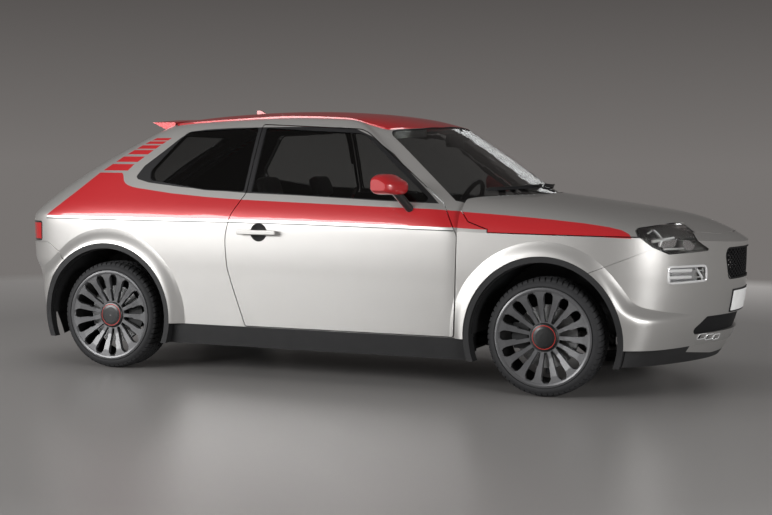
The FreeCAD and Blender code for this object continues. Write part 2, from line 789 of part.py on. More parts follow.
class Surface:
    """A control net with the directions along which its walls are measured.

    The net holds the left half of the car, nose to tail. The front and rear walls run on past the
    middle line to the same station on the right.
    """

    def __init__(self, net, core):
        self.net = net
        self.normals = net_normals(net, core)

    def wall(self, start, end):
        return slab(moved(self.net, self.normals, start), moved(self.net, self.normals, end))

    def round_nose(self, start, end, last):
        net, normals = [
            [flipped(row[last:0:-1]) + row[:last + 1] for row in rows] for rows in (self.net, self.normals)
        ]
        return slab(moved(net, normals, start), moved(net, normals, end))

    def round_tail(self, start, end, first):
        net, normals = [
            [row[first:] + flipped(row[-2:first - 1:-1]) for row in rows] for rows in (self.net, self.normals)
        ]
        return slab(moved(net, normals, start), moved(net, normals, end))


CORE = Vector(0, 0, up(CORE_SHARE))
LOWER = Surface(lower_net(), CORE)
LOWER_SKIN = net_face(LOWER.net).Surface
SIDE = Surface(side_net(), CORE)
BONNET = Surface(bonnet_net(), Vector(along(BONNET_CORE_SHARES[0]), 0, up(BONNET_CORE_SHARES[1])))
ROOF = Surface(roof_net(), CORE)
NOSE_STATIONS = 12
TAIL_STATION = 14


BONNET.normals[0] = LOWER.normals[-1][:len(BONNET.normals[0])]


# Zones that share out the surface between the panels

FAR = HALF_LENGTH + OVERRUN
TOP = ROOF_HEIGHT + OVERRUN


def arch_hole(axle_x, radius):
    return Part.makeCylinder(radius, OVERRUN * 2, Vector(axle_x, OVERRUN, TYRE_RADIUS), Vector(0, 1, 0))


def arch_holes():
    return [arch_hole(x, ARCH_RADIUS) for x in (FRONT_AXLE_X, REAR_AXLE_X)]


def door_points():
    return side_points(DOOR_SHARES)


def front_bumper_zone(gap=0.0):
    (x0, z0), (x1, z1) = [(along(x), up(z)) for x, z in FRONT_SPLIT_SHARES]
    points = [
        (FRONT_AXLE_X, z0 - TYRE_RADIUS / 2), (x0, z0), (x1, z1), (x1, TOP), (FAR, TOP), (FAR, 0),
        (FRONT_AXLE_X, 0),
    ]
    return side_prism(grown(points, gap))


def rear_bumper_zone(gap=0.0):
    (x0, z0), (x1, z1) = [(along(x), up(z)) for x, z in REAR_SPLIT_SHARES]
    points = [
        (REAR_AXLE_X, z0 - TYRE_RADIUS / 2), (x0, z0), (x1, z1), (-FAR, z1), (-FAR, 0), (REAR_AXLE_X, 0),
    ]
    return side_prism(grown(points, gap))


def skirt_zone(gap=0.0):
    top = up(SKIRT_TOP_SHARE)
    points = [(REAR_AXLE_X, 0), (REAR_AXLE_X, top), (FRONT_AXLE_X, top), (FRONT_AXLE_X, 0)]
    return side_prism(grown(points, gap))


def ahead_of_door(gap=0.0):
    """Everything in front of the door's leading edge."""
    front = along(DOOR_SHARES[1][0])
    foot = along(DOOR_SHARES[0][0])
    points = [(foot, 0), (front, up(DOOR_SHARES[1][1])), (front, TOP), (FAR, TOP), (FAR, 0)]
    return side_prism(grown(points, gap))


def screen_zone(gap=0.0):
    outline = grown(symmetric(plan_points(SCREEN_SHARES)), gap)
    return plan_prism(outline, up(BELT_SHARE) - OVERRUN / 2, TOP)


def roof_zone(gap=0.0):
    return plan_prism(grown(symmetric(plan_points(ROOF_SHARES)), gap), up(BELT_SHARE), TOP)


def tailgate_zone(gap=0.0):
    hinge = along(ROOF_SHARES[-1][0])
    foot = (across(TAILGATE_FOOT_HALF_SHARE), up(REAR_SPLIT_SHARES[-1][1]) + PANEL_GAP - SEAT_GAP)
    outline = grown(symmetric_front([foot] + front_points(TAILGATE_SHARES)), gap)
    return front_prism(outline, -FAR, hinge - PANEL_GAP + gap)


def bonnet_zone(gap=0.0):
    return plan_prism(grown(symmetric(plan_points(BONNET_SHARES)), gap), up(SILL_SHARE), TOP)


def headlamp_zone(gap=0.0):
    return side_prism(grown(side_points(HEADLAMP_SHARES), gap), across(LAMP_INNER_SHARE))


def fog_zone(gap=0.0):
    return side_prism(grown(side_points(FOG_SHARES), gap), across(FOG_INNER_SHARE), across(FOG_OUTER_SHARE))


def tail_lamp_zone(gap=0.0):
    return side_prism(grown(side_points(TAIL_LAMP_SHARES), gap), across(TAIL_LAMP_INNER_SHARE) - gap)


def grille_points():
    return symmetric_front(front_points(GRILLE_SHARES))


# Fixed panels

def skin_y(x, z):
    """How far out the body's skin lies at a place seen from the side."""
    lowest = up(LOWER_SHARES[0][0]) + SKIN
    line = Part.Line(Vector(x, 0, max(z, lowest)), Vector(x, HALF_WIDTH, max(z, lowest)))
    return max(p.Y for p in line.intersectCS(LOWER_SKIN)[0])


def flare_stations(axle_x):
    """Band stations round an arch: axle-centred direction in x and z, then the three shares."""
    ahead = axle_x > 0
    shares = FRONT_FLARE_SHARES if ahead else REAR_FLARE_SHARES
    stations = []
    for angle, edge, lip, softness in shares + FLARE_REST_SHARES:
        a = math.radians(angle)
        way = Vector(math.cos(a) if ahead else -math.cos(a), 0, math.sin(a))
        stations.append((way, edge, lip, softness))
    return stations


def flare(axle_x):
    """Soft raised band round a wheel arch, on and a little into the body's skin."""
    centre = Vector(axle_x, 0, TYRE_RADIUS)
    start = ARCH_RADIUS * BAND_SPARE_SHARE
    outer = []
    inner = []
    for t, tight, wide in zip(BAND_ROW_SHARES, BAND_TIGHT_SHARES, BAND_WIDE_SHARES):
        outer_row = []
        inner_row = []
        for way, edge, lip, softness in flare_stations(axle_x):
            place = centre + way * lerp(start, ARCH_RADIUS * edge, t)
            skin = skin_y(place.x, place.z)
            face = HALF_WIDTH + FLARE_STAND * lip
            y = lerp(skin - SKIN / 3, face, lerp(tight, wide, softness))
            outer_row.append(Vector(place.x, y, place.z))
            inner_row.append(Vector(place.x, skin - SKIN * 2 / 3, place.z))
        outer.append(outer_row)
        inner.append(inner_row)
    return slab(outer, inner).cut([below_sill_cut(), arch_hole(axle_x, ARCH_RADIUS)])


def below_sill_cut():
    return box(-FAR, FAR, -FAR, FAR, -OVERRUN, up(LOWER_SHARES[0][0]))


def pillar_foot_zone(gap=0.0):
    """Where the wing runs on up to the foot of the windscreen pillar."""
    return side_prism(grown(side_points(PILLAR_FOOT_SHARES), gap))


def front_wing():
    above = BONNET.round_nose(0, SKIN, NOSE_STATIONS).common(pillar_foot_zone())
    wall = LOWER.round_nose(0, SKIN, NOSE_STATIONS).fuse([above, flare(FRONT_AXLE_X)])
    wall = wall.common(ahead_of_door(-PANEL_GAP)).cut(box(-FAR, FAR, -FAR, 0, 0, TOP))
    holes = [
        front_bumper_zone(), headlamp_zone(), arch_hole(FRONT_AXLE_X, ARCH_RADIUS), skirt_zone(),
        screen_zone(),
    ]
    return biggest(wall.cut(holes))


def door_rebate():
    """Room round the door behind the outer skin, where its inner edge swings out."""
    outline = grown(door_points(), PANEL_GAP + DOOR_REBATE)
    return SIDE.wall(SKIN, FRAME_DEPTH + SKIN).common(side_prism(outline, 0))


def side_frame():
    wall = SIDE.wall(0, FRAME_DEPTH).fuse(flare(REAR_AXLE_X))
    holes = [
        ahead_of_door(SEAT_GAP - PANEL_GAP), skirt_zone(), rear_bumper_zone(), tailgate_zone(PANEL_GAP),
        roof_zone(), screen_zone(), tail_lamp_zone(), side_prism(grown(door_points(), PANEL_GAP)),
        side_prism(side_points(QUARTER_GLASS_SHARES)), arch_hole(REAR_AXLE_X, ARCH_RADIUS), door_rebate(),
    ]
    return biggest(wall.cut(holes))


def tailgate_hinge():
    """Leaf at the roof's rear edge, just ahead of the tailgate and below the outer skin."""
    edge = along(ROOF_SHARES[-1][0])
    y0 = TAILGATE_HINGE_Y - HINGE_HEIGHT / 2
    return ROOF.wall(SKIN, ROOF_DEPTH).common(
        box(edge - PANEL_GAP + SEAT_GAP, edge + HINGE_HEIGHT, y0, y0 + HINGE_HEIGHT, 0, TOP))


def roof_fin():
    """Small swept aerial fin on the roof's middle line."""
    foot = spine_point(FIN_X).z - ROOF_DEPTH / 2
    top = spine_point(FIN_X).z + FIN_HEIGHT
    x1 = FIN_X + FIN_LENGTH / 2
    x0 = FIN_X - FIN_LENGTH / 2
    half = FIN_WIDTH / 2
    side = side_prism([(x0, foot), (x0, top), (x0 + FIN_WIDTH, top), (x1, foot)], -half, half)
    plan = plan_prism([(x0, half), (x1, 0), (x0, -half)], foot, top)
    return side.common(plan)


def roof_panel():
    panel = ROOF.wall(0, ROOF_DEPTH).common(roof_zone(-SEAT_GAP))
    return biggest(panel.fuse(sides(tailgate_hinge()) + [roof_fin()]))


def front_bumper():
    zone = front_bumper_zone(-PANEL_GAP / 2)
    lower = LOWER.round_nose(0, BUMPER_DEPTH, NOSE_STATIONS).fuse(sides(flare(FRONT_AXLE_X)))
    flange = LOWER.round_nose(SKIN + SEAT_GAP, FLANGE_DEPTH, NOSE_STATIONS)
    flange = flange.common(front_bumper_zone(FLANGE_LAP))
    nose = BONNET.round_nose(0, BUMPER_DEPTH, NOSE_STATIONS).common(zone).cut(bonnet_zone(PANEL_GAP))
    wall = lower.common(zone).fuse([nose, flange])
    splitter = box(FRONT_AXLE_X, FAR, -FAR, FAR, 0, up(SPLITTER_TOP_SHARE))
    grille = front_prism(grille_points(), along(GRILLE_ROOM_SHARE), FAR)
    holes = sides(headlamp_zone()) + sides(fog_zone())
    holes += sides(arch_hole(FRONT_AXLE_X, ARCH_RADIUS)) + [splitter, grille, intake_hole()] + slot_holes()
    return biggest(wall.cut(holes))


def intake_hole(gap=0.0):
    outline = grown(symmetric_front(front_points(INTAKE_HALF_SHARES)), gap)
    return front_prism(outline, along(GRILLE_ROOM_SHARE), FAR)


def slot_holes(gap=0.0):
    """Three small slots on each side of the bumper's lower lip."""
    holes = []
    for share_y, share_z in SLOT_SHARES:
        y = across(share_y)
        z = up(share_z)
        half = across(SLOT_HALF_SHARE) + gap
        rise = up(SLOT_HEIGHT_SHARE) / 2 + gap
        slot = box(along(GRILLE_ROOM_SHARE), FAR, y - half, y + half, z - rise, z + rise)
        holes += sides(slot)
    return holes


def front_splitter():
    zone = box(FRONT_AXLE_X, FAR, -FAR, FAR, 0, up(SPLITTER_TOP_SHARE) - SEAT_GAP)
    wall = LOWER.round_nose(0, SKIRT_DEPTH, NOSE_STATIONS).common(zone)
    return biggest(wall.cut(sides(arch_hole(FRONT_AXLE_X, ARCH_RADIUS))))


def rear_bumper():
    wall = LOWER.round_tail(0, BUMPER_DEPTH, TAIL_STATION).fuse(sides(flare(REAR_AXLE_X)))
    flange = LOWER.round_tail(SKIN, FLANGE_DEPTH, TAIL_STATION).common(rear_bumper_zone(-SEAT_GAP))
    valance = box(-FAR, REAR_AXLE_X, -FAR, FAR, 0, up(VALANCE_TOP_SHARE))
    holes = sides(tail_lamp_zone()) + sides(arch_hole(REAR_AXLE_X, ARCH_RADIUS))
    holes += [tailgate_zone(PANEL_GAP), valance]
    return biggest(wall.common(rear_bumper_zone(-PANEL_GAP)).fuse(flange).cut(holes))


def rear_valance():
    zone = box(-FAR, REAR_AXLE_X, -FAR, FAR, 0, up(VALANCE_TOP_SHARE) - SEAT_GAP)
    wall = LOWER.round_tail(0, SKIRT_DEPTH, TAIL_STATION).common(zone)
    return biggest(wall.cut(sides(arch_hole(REAR_AXLE_X, ARCH_RADIUS))))


def sill_skirt():
    """Sill below the door, solid in to the side of the floor."""
    inside = across(FLOOR_HALF_SHARE) + SEAT_GAP
    wall = LOWER.wall(0, SILL_DEPTH).common(skirt_zone(-SEAT_GAP))
    return biggest(wall.cut(arch_holes() + [box(-FAR, FAR, -inside, inside, 0, TOP)]))


def arch_trim(axle_x):
    """Black lip inside a wheel arch, a little inside the flare's face and level with the underside."""
    centre = Vector(axle_x, 0, TYRE_RADIUS)
    root = HALF_WIDTH - ARCH_LIP_DEPTH
    rings = (ARCH_RADIUS / BAND_SPARE_SHARE, ARCH_RADIUS, ARCH_RADIUS * LIP_SPARE_SHARE)
    outer = []
    inner = []
    for radius in rings:
        outer_row = []
        inner_row = []
        for way, edge, lip, softness in flare_stations(axle_x):
            place = centre + way * radius
            outer_row.append(Vector(place.x, HALF_WIDTH + FLARE_STAND * lip - ARCH_LIP_INSET, place.z))
            inner_row.append(Vector(place.x, root, place.z))
        outer.append(outer_row)
        inner.append(inner_row)
    top = ARCH_RADIUS - SEAT_GAP
    ring = turned(axle_x, [
        (top, root), (top, HALF_WIDTH * 2), (top - ARCH_LIP, HALF_WIDTH * 2), (top - ARCH_LIP, root)])
    return slab(outer, inner).common(ring).cut(below_sill_cut())


def side_cladding():
    return Part.makeCompound([
        piece
        for left in (sill_skirt(), arch_trim(FRONT_AXLE_X), arch_trim(REAR_AXLE_X))
        for piece in (left, mirrored(left))
    ])


def wheel_liner(axle_x):
    """Half drum over a wheel, open outwards and below."""
    outer = ARCH_RADIUS - ARCH_LIP - SEAT_GAP
    face = HALF_WIDTH - ARCH_LIP_DEPTH / 2
    hole = BEAM_RADIUS + PANEL_GAP
    drum = turned(axle_x, [
        (hole, LINER_INNER_Y), (outer, LINER_INNER_Y), (outer, face), (outer - LINER_WALL, face),
        (outer - LINER_WALL, LINER_INNER_Y + LINER_WALL), (hole, LINER_INNER_Y + LINER_WALL),
    ])
    return drum.cut(box(-FAR, FAR, -FAR, FAR, -OVERRUN, TYRE_RADIUS))


def wheel_liners():
    left = [wheel_liner(x) for x in (FRONT_AXLE_X, REAR_AXLE_X)]
    return Part.makeCompound(left + [mirrored(piece) for piece in left])


# Glass

def windscreen():
    pane = SIDE.round_nose(GLASS_INSET, GLASS_INSET + GLASS, NOSE_STATIONS).common(screen_zone(-SEAT_GAP))
    return biggest(pane.cut([bonnet_zone(PANEL_GAP), box(-FAR, FAR, -FAR, FAR, 0, up(BELT_SHARE) - PLATE)]))


def door_glass():
    pane = SIDE.wall(GLASS_INSET, GLASS_INSET + GLASS)
    return pane.common(side_prism(grown(side_points(DOOR_GLASS_SHARES), -SEAT_GAP)))


def quarter_window():
    pane = SIDE.wall(GLASS_INSET, GLASS_INSET + GLASS)
    return pane.common(side_prism(grown(side_points(QUARTER_GLASS_SHARES), -SEAT_GAP)))


# Doors

def door_step():
    """Room behind the outer skin along the door's rear edge, so that it swings clear of the body."""
    wall = SIDE.wall(SKIN, DOOR_DEPTH + OVERRUN / 4).common(box(-FAR, 0, 0, FAR, 0, TOP))
    return wall.cut(side_prism(grown(door_points(), -DOOR_INSET), 0))


def door_shell():
    outline = door_points()
    above = box(-FAR, FAR, -FAR, FAR, up(BELT_SHARE), TOP)
    panel = SIDE.wall(0, DOOR_DEPTH).fuse(flare(FRONT_AXLE_X)).common(side_prism(outline, 0))
    lining = SIDE.wall(WINDOW_FRAME_DEPTH, DOOR_DEPTH + OVERRUN / 4).common(above)
    cup = Part.makeSphere(
        HANDLE_CUP_RADIUS, Vector(HANDLE_X, HALF_WIDTH + HANDLE_CUP_RADIUS - HANDLE_CUP_DEPTH, HANDLE_Z))
    return biggest(panel.cut([lining, side_prism(side_points(DOOR_GLASS_SHARES)), cup, door_step()]))


def mirror_section(share_y, size, sweep):
    """Closed outline square to the car's width: a swept wedge, taller at the rear."""
    half = MIRROR_LENGTH / 2 * size
    x0 = MIRROR_X - half - MIRROR_LENGTH * sweep
    tall = MIRROR_HEIGHT / 2 * size
    points = [
        (x0, MIRROR_Z - tall * MIRROR_FLAT_SHARE, tall * MIRROR_ROUND_SHARE),
        (x0, MIRROR_Z + tall, tall * MIRROR_ROUND_SHARE),
        (x0 + half, MIRROR_Z + tall, tall),
        (x0 + half * 2, MIRROR_Z + tall * MIRROR_NOSE_SHARE, tall * MIRROR_ROUND_SHARE),
        (x0 + half * 2, MIRROR_Z - tall * MIRROR_FLAT_SHARE, tall * MIRROR_ROUND_SHARE),
    ]
    y = MIRROR_Y + MIRROR_WIDTH * share_y
    return outline_face(points, lambda v: Vector(v.x, y, v.y)).OuterWire


def mirror_housing():
    """Mirror head, lofted from the door outwards, on an arm that stands on the door below its glass."""
    head = Part.makeLoft([mirror_section(*shares) for shares in MIRROR_SHARES], True)
    arm = rod(
        Vector(MIRROR_X + MIRROR_REACH / 2, MIRROR_Y - MIRROR_REACH, MIRROR_Z - MIRROR_REACH),
        Vector(MIRROR_X, MIRROR_Y, MIRROR_Z), MIRROR_ARM / 2)
    return biggest(head.fuse(arm).cut(SIDE.wall(-SEAT_GAP, OVERRUN / 2)))


def door_handle():
    """Pull bar on two feet that stand on the door's skin."""
    x0 = HANDLE_X - HANDLE_LENGTH / 2
    x1 = HANDLE_X + HANDLE_LENGTH / 2
    z0 = HANDLE_Z - HANDLE_HEIGHT / 2
    z1 = z0 + HANDLE_HEIGHT
    y1 = HALF_WIDTH + HANDLE_STAND
    bar = box(x0, x1, y1 - HANDLE_THICK, y1, z0, z1, HANDLE_THICK / 3)
    inset = HANDLE_THICK / 3
    feet = [
        box(x, x + HANDLE_FOOT, HALF_WIDTH - SKIN, y1 - HANDLE_THICK / 2, z0 + inset, z1 - inset)
        for x in (x0 + inset, x1 - inset - HANDLE_FOOT)
    ]
    return biggest(bar.fuse(feet).cut(SIDE.wall(-SEAT_GAP, SKIN * 2)))


# Bonnet and tailgate

def bonnet_panel():
    floor = [(along(x), up(z) + PANEL_GAP) for x, z in CREASE_SHARES]
    above = side_prism(floor + [(FAR, floor[-1][1]), (FAR, TOP), (-FAR, TOP), (-FAR, floor[0][1])])
    wall = BONNET.round_nose(0, BONNET_DEPTH, NOSE_STATIONS).common(bonnet_zone()).common(above)
    return biggest(wall.cut(sides(headlamp_zone(PANEL_GAP)) + [pillar_foot_zone(PANEL_GAP)]))


def tailgate_shell():
    wall = SIDE.round_tail(0, TAILGATE_DEPTH, TAIL_STATION).common(tailgate_zone())
    hole = front_prism(rear_screen_points(), -FAR, 0)
    return biggest(wall.cut([hole] + sides(tail_lamp_zone(PANEL_GAP))))


def rear_screen_points():
    return symmetric_front(front_points(REAR_SCREEN_SHARES))


def rear_screen():
    pane = SIDE.round_tail(GLASS_INSET, GLASS_INSET + GLASS, TAIL_STATION)
    outline = grown(rear_screen_points(), -SEAT_GAP)
    return pane.common(front_prism(outline, -FAR, along(REAR_SCREEN_ROOM_SHARE)))


def rear_spoiler():
    """Blade that carries the roof line on past the tailgate's top edge."""
    x0 = along(ROOF_SHARES[-1][0]) - SPOILER_GAP
    x1 = x0 - SPOILER_REACH
    top = spine_point(x0).z + SPOILER_STAND
    half = across(SPOILER_HALF_SHARE)
    tip = top - SPOILER_DROP
    outline = [(x0, top), (x1, tip), (x1, tip - SPOILER_LIP), (x0, top - OVERRUN / 4)]
    edge = up(SPOILER_EDGE_SHARE)
    middle = (0, top + SPOILER_STAND, SPOILER_CROWN)
    crown = front_prism([(half, 0), (half, edge), middle, (-half, edge), (-half, 0)], -FAR, 0)
    blade = side_prism(outline, -half, half).common(crown)
    under = SIDE.round_tail(-SEAT_GAP, OVERRUN, TAIL_STATION)
    return biggest(blade.cut(under))


# Lamps and grille

def lamp_pod(share_x, share_y, share_z):
    """Round reflector that looks ahead, dished at its front."""
    front = Vector(along(share_x), across(share_y), up(share_z))
    back = front - Vector(LAMP_POD_LENGTH, 0, 0)
    pod = rod(back, front, LAMP_POD_RADIUS)
    bore = LAMP_POD_RADIUS - LAMP_POD_WALL
    ball_radius = (bore * bore + LAMP_POD_DISH * LAMP_POD_DISH) / (LAMP_POD_DISH * 2)
    centre = front + Vector(ball_radius - LAMP_POD_DISH, 0, 0)
    return pod.cut(Part.makeSphere(ball_radius, centre))


def headlamp_housing():
    """Bowl behind the lens with two round reflectors, clear of the lens all over."""
    start = GLASS_INSET + GLASS
    bowl = nose_shell(start, FRAME_DEPTH).common(headlamp_zone(-SEAT_GAP))
    bowl = bowl.cut(nose_shell(0, FRAME_DEPTH - SKIN).common(headlamp_zone(-LAMP_RIM)))
    inside = nose_shell(start, OVERRUN / 2).common(headlamp_zone(-LAMP_RIM / 2))
    for shares in LAMP_POD_SHARES:
        bowl = bowl.fuse(lamp_pod(*shares).common(inside))
    return biggest(bowl)


def nose_shell(start, end):
    """Wall round the nose, below and above the crease."""
    lower = LOWER.round_nose(start, end, NOSE_STATIONS)
    return lower.fuse(BONNET.round_nose(start, end, NOSE_STATIONS))


def headlamp_lens():
    skin = nose_shell(GLASS_INSET / 2, GLASS_INSET + GLASS - SEAT_GAP)
    return biggest(skin.common(headlamp_zone(-SEAT_GAP)))


def fog_lamp():
    """Square bowl with bars across its mouth."""
    bowl = LOWER.wall(GLASS_INSET + GLASS, FRAME_DEPTH).common(fog_zone(-SEAT_GAP))
    bowl = bowl.cut(LOWER.wall(0, FRAME_DEPTH - SKIN).common(fog_zone(-LAMP_RIM)))
    low = min(up(z) for x, z, r in FOG_SHARES)
    high = max(up(z) for x, z, r in FOG_SHARES)
    wall = LOWER.wall(GLASS_INSET + GLASS, GLASS_INSET + GLASS + SKIN).common(fog_zone(-LAMP_RIM / 2))
    bars = []
    for k in range(FOG_BARS):
        z = lerp(low, high, (k + 1) / (FOG_BARS + 1)) - FOG_BAR / 2
        bars.append(wall.common(box(0, FAR, 0, FAR, z, z + FOG_BAR)))
    return biggest(bowl.fuse(bars))


def fog_lens():
    skin = LOWER.wall(GLASS_INSET / 2, GLASS_INSET + GLASS - SEAT_GAP)
    return biggest(skin.common(fog_zone(-SEAT_GAP)))


def tail_lamp():
    return biggest(LOWER.wall(TAIL_LAMP_INSET, FRAME_DEPTH).common(tail_lamp_zone(-SEAT_GAP)))


def mesh_bars(points):
    """Crossing slanted bars over an outline seen from the front."""
    half = max(p[0] for p in points)
    low = min(p[1] for p in points)
    high = max(p[1] for p in points)
    rise = high - low
    run = rise / MESH_SLOPE_SHARE
    reach = MESH_BAR / 2 / math.sin(math.atan(MESH_SLOPE_SHARE))
    x0 = along(GRILLE_ROOM_SHARE)
    bars = []
    for k in range(-int((half + run) / MESH_PITCH), int(half / MESH_PITCH) + 1):
        foot = k * MESH_PITCH
        for way in (1, -1):
            outline = [
                (way * (foot - reach), low), (way * (foot + reach), low), (way * (foot + run + reach), high),
                (way * (foot + run - reach), high),
            ]
            bars.append(front_prism(outline, x0, FAR))
    return bars


def grille_mesh():
    """Diamond mesh in a narrow frame, curved with the nose."""
    outline = grown(grille_points(), -SEAT_GAP)
    x0 = along(GRILLE_ROOM_SHARE)
    frame = LOWER.round_nose(0, GRILLE_DEPTH, NOSE_STATIONS).common(front_prism(outline, x0, FAR))
    frame = frame.cut(front_prism(grown(outline, -GRILLE_RIM), x0, FAR))
    pane = LOWER.round_nose(BUMPER_DEPTH / 2, BUMPER_DEPTH, NOSE_STATIONS)
    pane = pane.common(front_prism(grown(outline, -GRILLE_RIM / 2), x0, FAR))
    bars = mesh_bars(outline)
    lattice = pane.common(bars[0].fuse(bars[1:]))
    return frame.fuse(lattice)


def intake_insert():
    """Dark panel behind the lower intake and its slots."""
    start = FLANGE_DEPTH + SEAT_GAP
    wall = LOWER.round_nose(start, start + INTAKE_WALL, NOSE_STATIONS)
    low = up(SPLITTER_TOP_SHARE)
    high = up(INTAKE_HALF_SHARES[0][1]) + PLATE
    half = across(INTAKE_HALF_SHARES[1][0]) + PLATE
    return wall.common(box(0, FAR, -half, half, low, high))


def grille_insert():
    return Part.makeCompound([grille_mesh(), intake_insert()])


# Floor, cabin and engine

def floor_rear():
    return REAR_AXLE_X + ARCH_RADIUS + PLATE


def hinge_pillar():
    """Post between the front wheel and the door. Its leaves carry the door and the bonnet's rear corner."""
    half = across(FLOOR_HALF_SHARE)
    x1 = FRONT_AXLE_X - ARCH_RADIUS + ARCH_LIP - PLATE
    x0 = x1 - HINGE_POST_WIDTH * 2
    y0 = half - HINGE_POST_WIDTH
    y1 = HALF_WIDTH - ARCH_LIP_DEPTH - PANEL_GAP
    top = up(PILLAR_TOP_SHARE)
    skirt_top = up(SKIRT_TOP_SHARE)
    post = box(x0, x1, y0, half, up(FLOOR_SHARE), top).fuse(box(x0, x1, y0, y1, skirt_top, top))
    post = post.common(ahead_of_door(-PANEL_GAP))
    leaves = []
    for share in HINGE_SHARES:
        leaves.append(box(x0, x1, y1 - HINGE_POST_WIDTH, y1, up(share), up(share) + HINGE_HEIGHT))
    leaves = [leaf.common(ahead_of_door(-SEAT_GAP)) for leaf in leaves]
    bracket = box(
        x1 - HINGE_POST_WIDTH, x1, half - HINGE_POST_WIDTH / 2, half + HINGE_POST_WIDTH / 2, top - PLATE,
        ROOF_HEIGHT)
    bracket = bracket.cut(BONNET.wall(-OVERRUN * 2, BONNET_DEPTH + SEAT_GAP))
    low = min(bracket.Solids, key=lambda s: s.BoundBox.ZMin)
    return post.fuse(leaves + [low])


def floor_pan():
    floor = up(FLOOR_SHARE)
    clear = ARCH_RADIUS + PLATE
    front = FRONT_AXLE_X - clear
    rear = floor_rear()
    half = across(FLOOR_HALF_SHARE)
    wall_x = along(BULKHEAD_SHARE)
    pieces = [
        box(rear, front, -half, half, floor, floor + PLATE),
        box(rear, wall_x, -TUNNEL_HALF, TUNNEL_HALF, floor, floor + TUNNEL_HEIGHT),
        box(front - PLATE, wall_x, -LINER_INNER_Y, LINER_INNER_Y, floor, floor + PLATE),
    ]
    for y in (-half, half - SILL_WIDTH):
        pieces.append(box(rear, front, y, y + SILL_WIDTH, floor, floor + SILL_HEIGHT))
    dash_floor = up(BELT_SHARE) - PLATE
    pieces.append(box(wall_x, wall_x + PLATE, -LINER_INNER_Y, LINER_INNER_Y, floor, dash_floor))
    boot = up(BOOT_SHARE)
    boot_half = across(BOOT_HALF_SHARE)
    pieces.append(box(along(BOOT_REAR_SHARE), rear, -boot_half, boot_half, boot - PLATE, boot))
    pieces.append(box(rear, rear + PLATE, -boot_half, boot_half, floor, boot))
    nose = along(RAIL_FRONT_SHARE)
    for y in (-RAIL_Y, RAIL_Y - RAIL_WIDTH):
        pieces.append(box(wall_x, nose, y, y + RAIL_WIDTH, RAIL_Z, RAIL_Z + RAIL_HEIGHT))
    pieces.append(box(nose - BEAM_DEPTH, nose, -RAIL_Y, RAIL_Y, RAIL_Z, RAIL_Z + RAIL_HEIGHT))
    pieces += sides(hinge_pillar())
    return pieces[0].fuse(pieces[1:]).removeSplitter()


def raked(shape, x, z, angle):
    shape.rotate(Vector(x, 0, z), Vector(0, 1, 0), angle)
    return shape


def front_seat():
    x0 = SEAT_FRONT_X - SEAT_LENGTH
    half = SEAT_WIDTH / 2
    z1 = SEAT_BASE_Z + SEAT_BASE
    base = box(x0, SEAT_FRONT_X, -half, half, SEAT_BASE_Z, z1, SEAT_RADIUS)
    back_foot = SEAT_BASE_Z + SEAT_BASE / 3
    back = box(x0 - SEAT_BACK_THICK, x0, -half, half, back_foot, z1 + SEAT_BACK, SEAT_RADIUS)
    head_z = z1 + SEAT_BACK - SEAT_RADIUS / 2
    head_half = HEAD_WIDTH / 2
    head = box(x0 - HEAD_THICK, x0, -head_half, head_half, head_z, head_z + HEAD_HEIGHT, SEAT_RADIUS / 2)
    upper = raked(back.fuse(head), x0, z1, -SEAT_RAKE)
    seat = base.fuse(upper).removeSplitter()
    floor = up(FLOOR_SHARE) + PLATE + SEAT_GAP
    legs = []
    for y in (-half + SEAT_RADIUS, half - SEAT_RADIUS * 2):
        legs.append(box(
            x0 + SEAT_RADIUS, SEAT_FRONT_X - SEAT_RADIUS, y, y + SEAT_RADIUS, floor,
            SEAT_BASE_Z + SEAT_RADIUS))
    seat = seat.fuse(legs).removeSplitter()
    seat.translate(Vector(0, DRIVER_Y, 0))
    return seat


def rear_bench():
    z0 = up(FLOOR_SHARE) + TUNNEL_HEIGHT + SEAT_GAP
    z1 = z0 + SEAT_BASE
    x0 = floor_rear() + PLATE + BENCH_FOOT
    base = box(x0, x0 + BENCH_LENGTH, -BENCH_HALF, BENCH_HALF, z0, z1, SEAT_RADIUS)
    back_foot = z1 - SEAT_BASE / 2
    back = box(
        x0 - SEAT_BACK_THICK, x0, -BENCH_HALF, BENCH_HALF, back_foot, z1 + BENCH_BACK, SEAT_RADIUS)
    back = raked(back, x0, z1, -SEAT_RAKE)
    return base.fuse(back).removeSplitter()


def wheel_axis():
    """Direction of the steering column, forwards and down from the driver."""
    a = math.radians(STEERING_WHEEL_TILT)
    return Vector(math.cos(a), 0, -math.sin(a))


def wheel_centre():
    x = along(BULKHEAD_SHARE) - DASH_DEPTH - STEERING_WHEEL_RADIUS
    return Vector(x, DRIVER_Y, up(DASH_TOP_SHARE) - STEERING_WHEEL_RADIUS / 3)


def dashboard():
    top = up(DASH_TOP_SHARE)
    half = across(DASH_HALF_SHARE)
    x1 = along(BULKHEAD_SHARE) - SEAT_GAP
    body = box(x1 - DASH_DEPTH, x1, -half, half, top - DASH_HEIGHT, top, SEAT_RADIUS)
    column_end = wheel_centre() + wheel_axis() * (STEERING_WHEEL_TUBE * 3)
    column = rod(column_end, column_end + wheel_axis() * DASH_DEPTH, COLUMN_RADIUS)
    return body.fuse(column).removeSplitter()


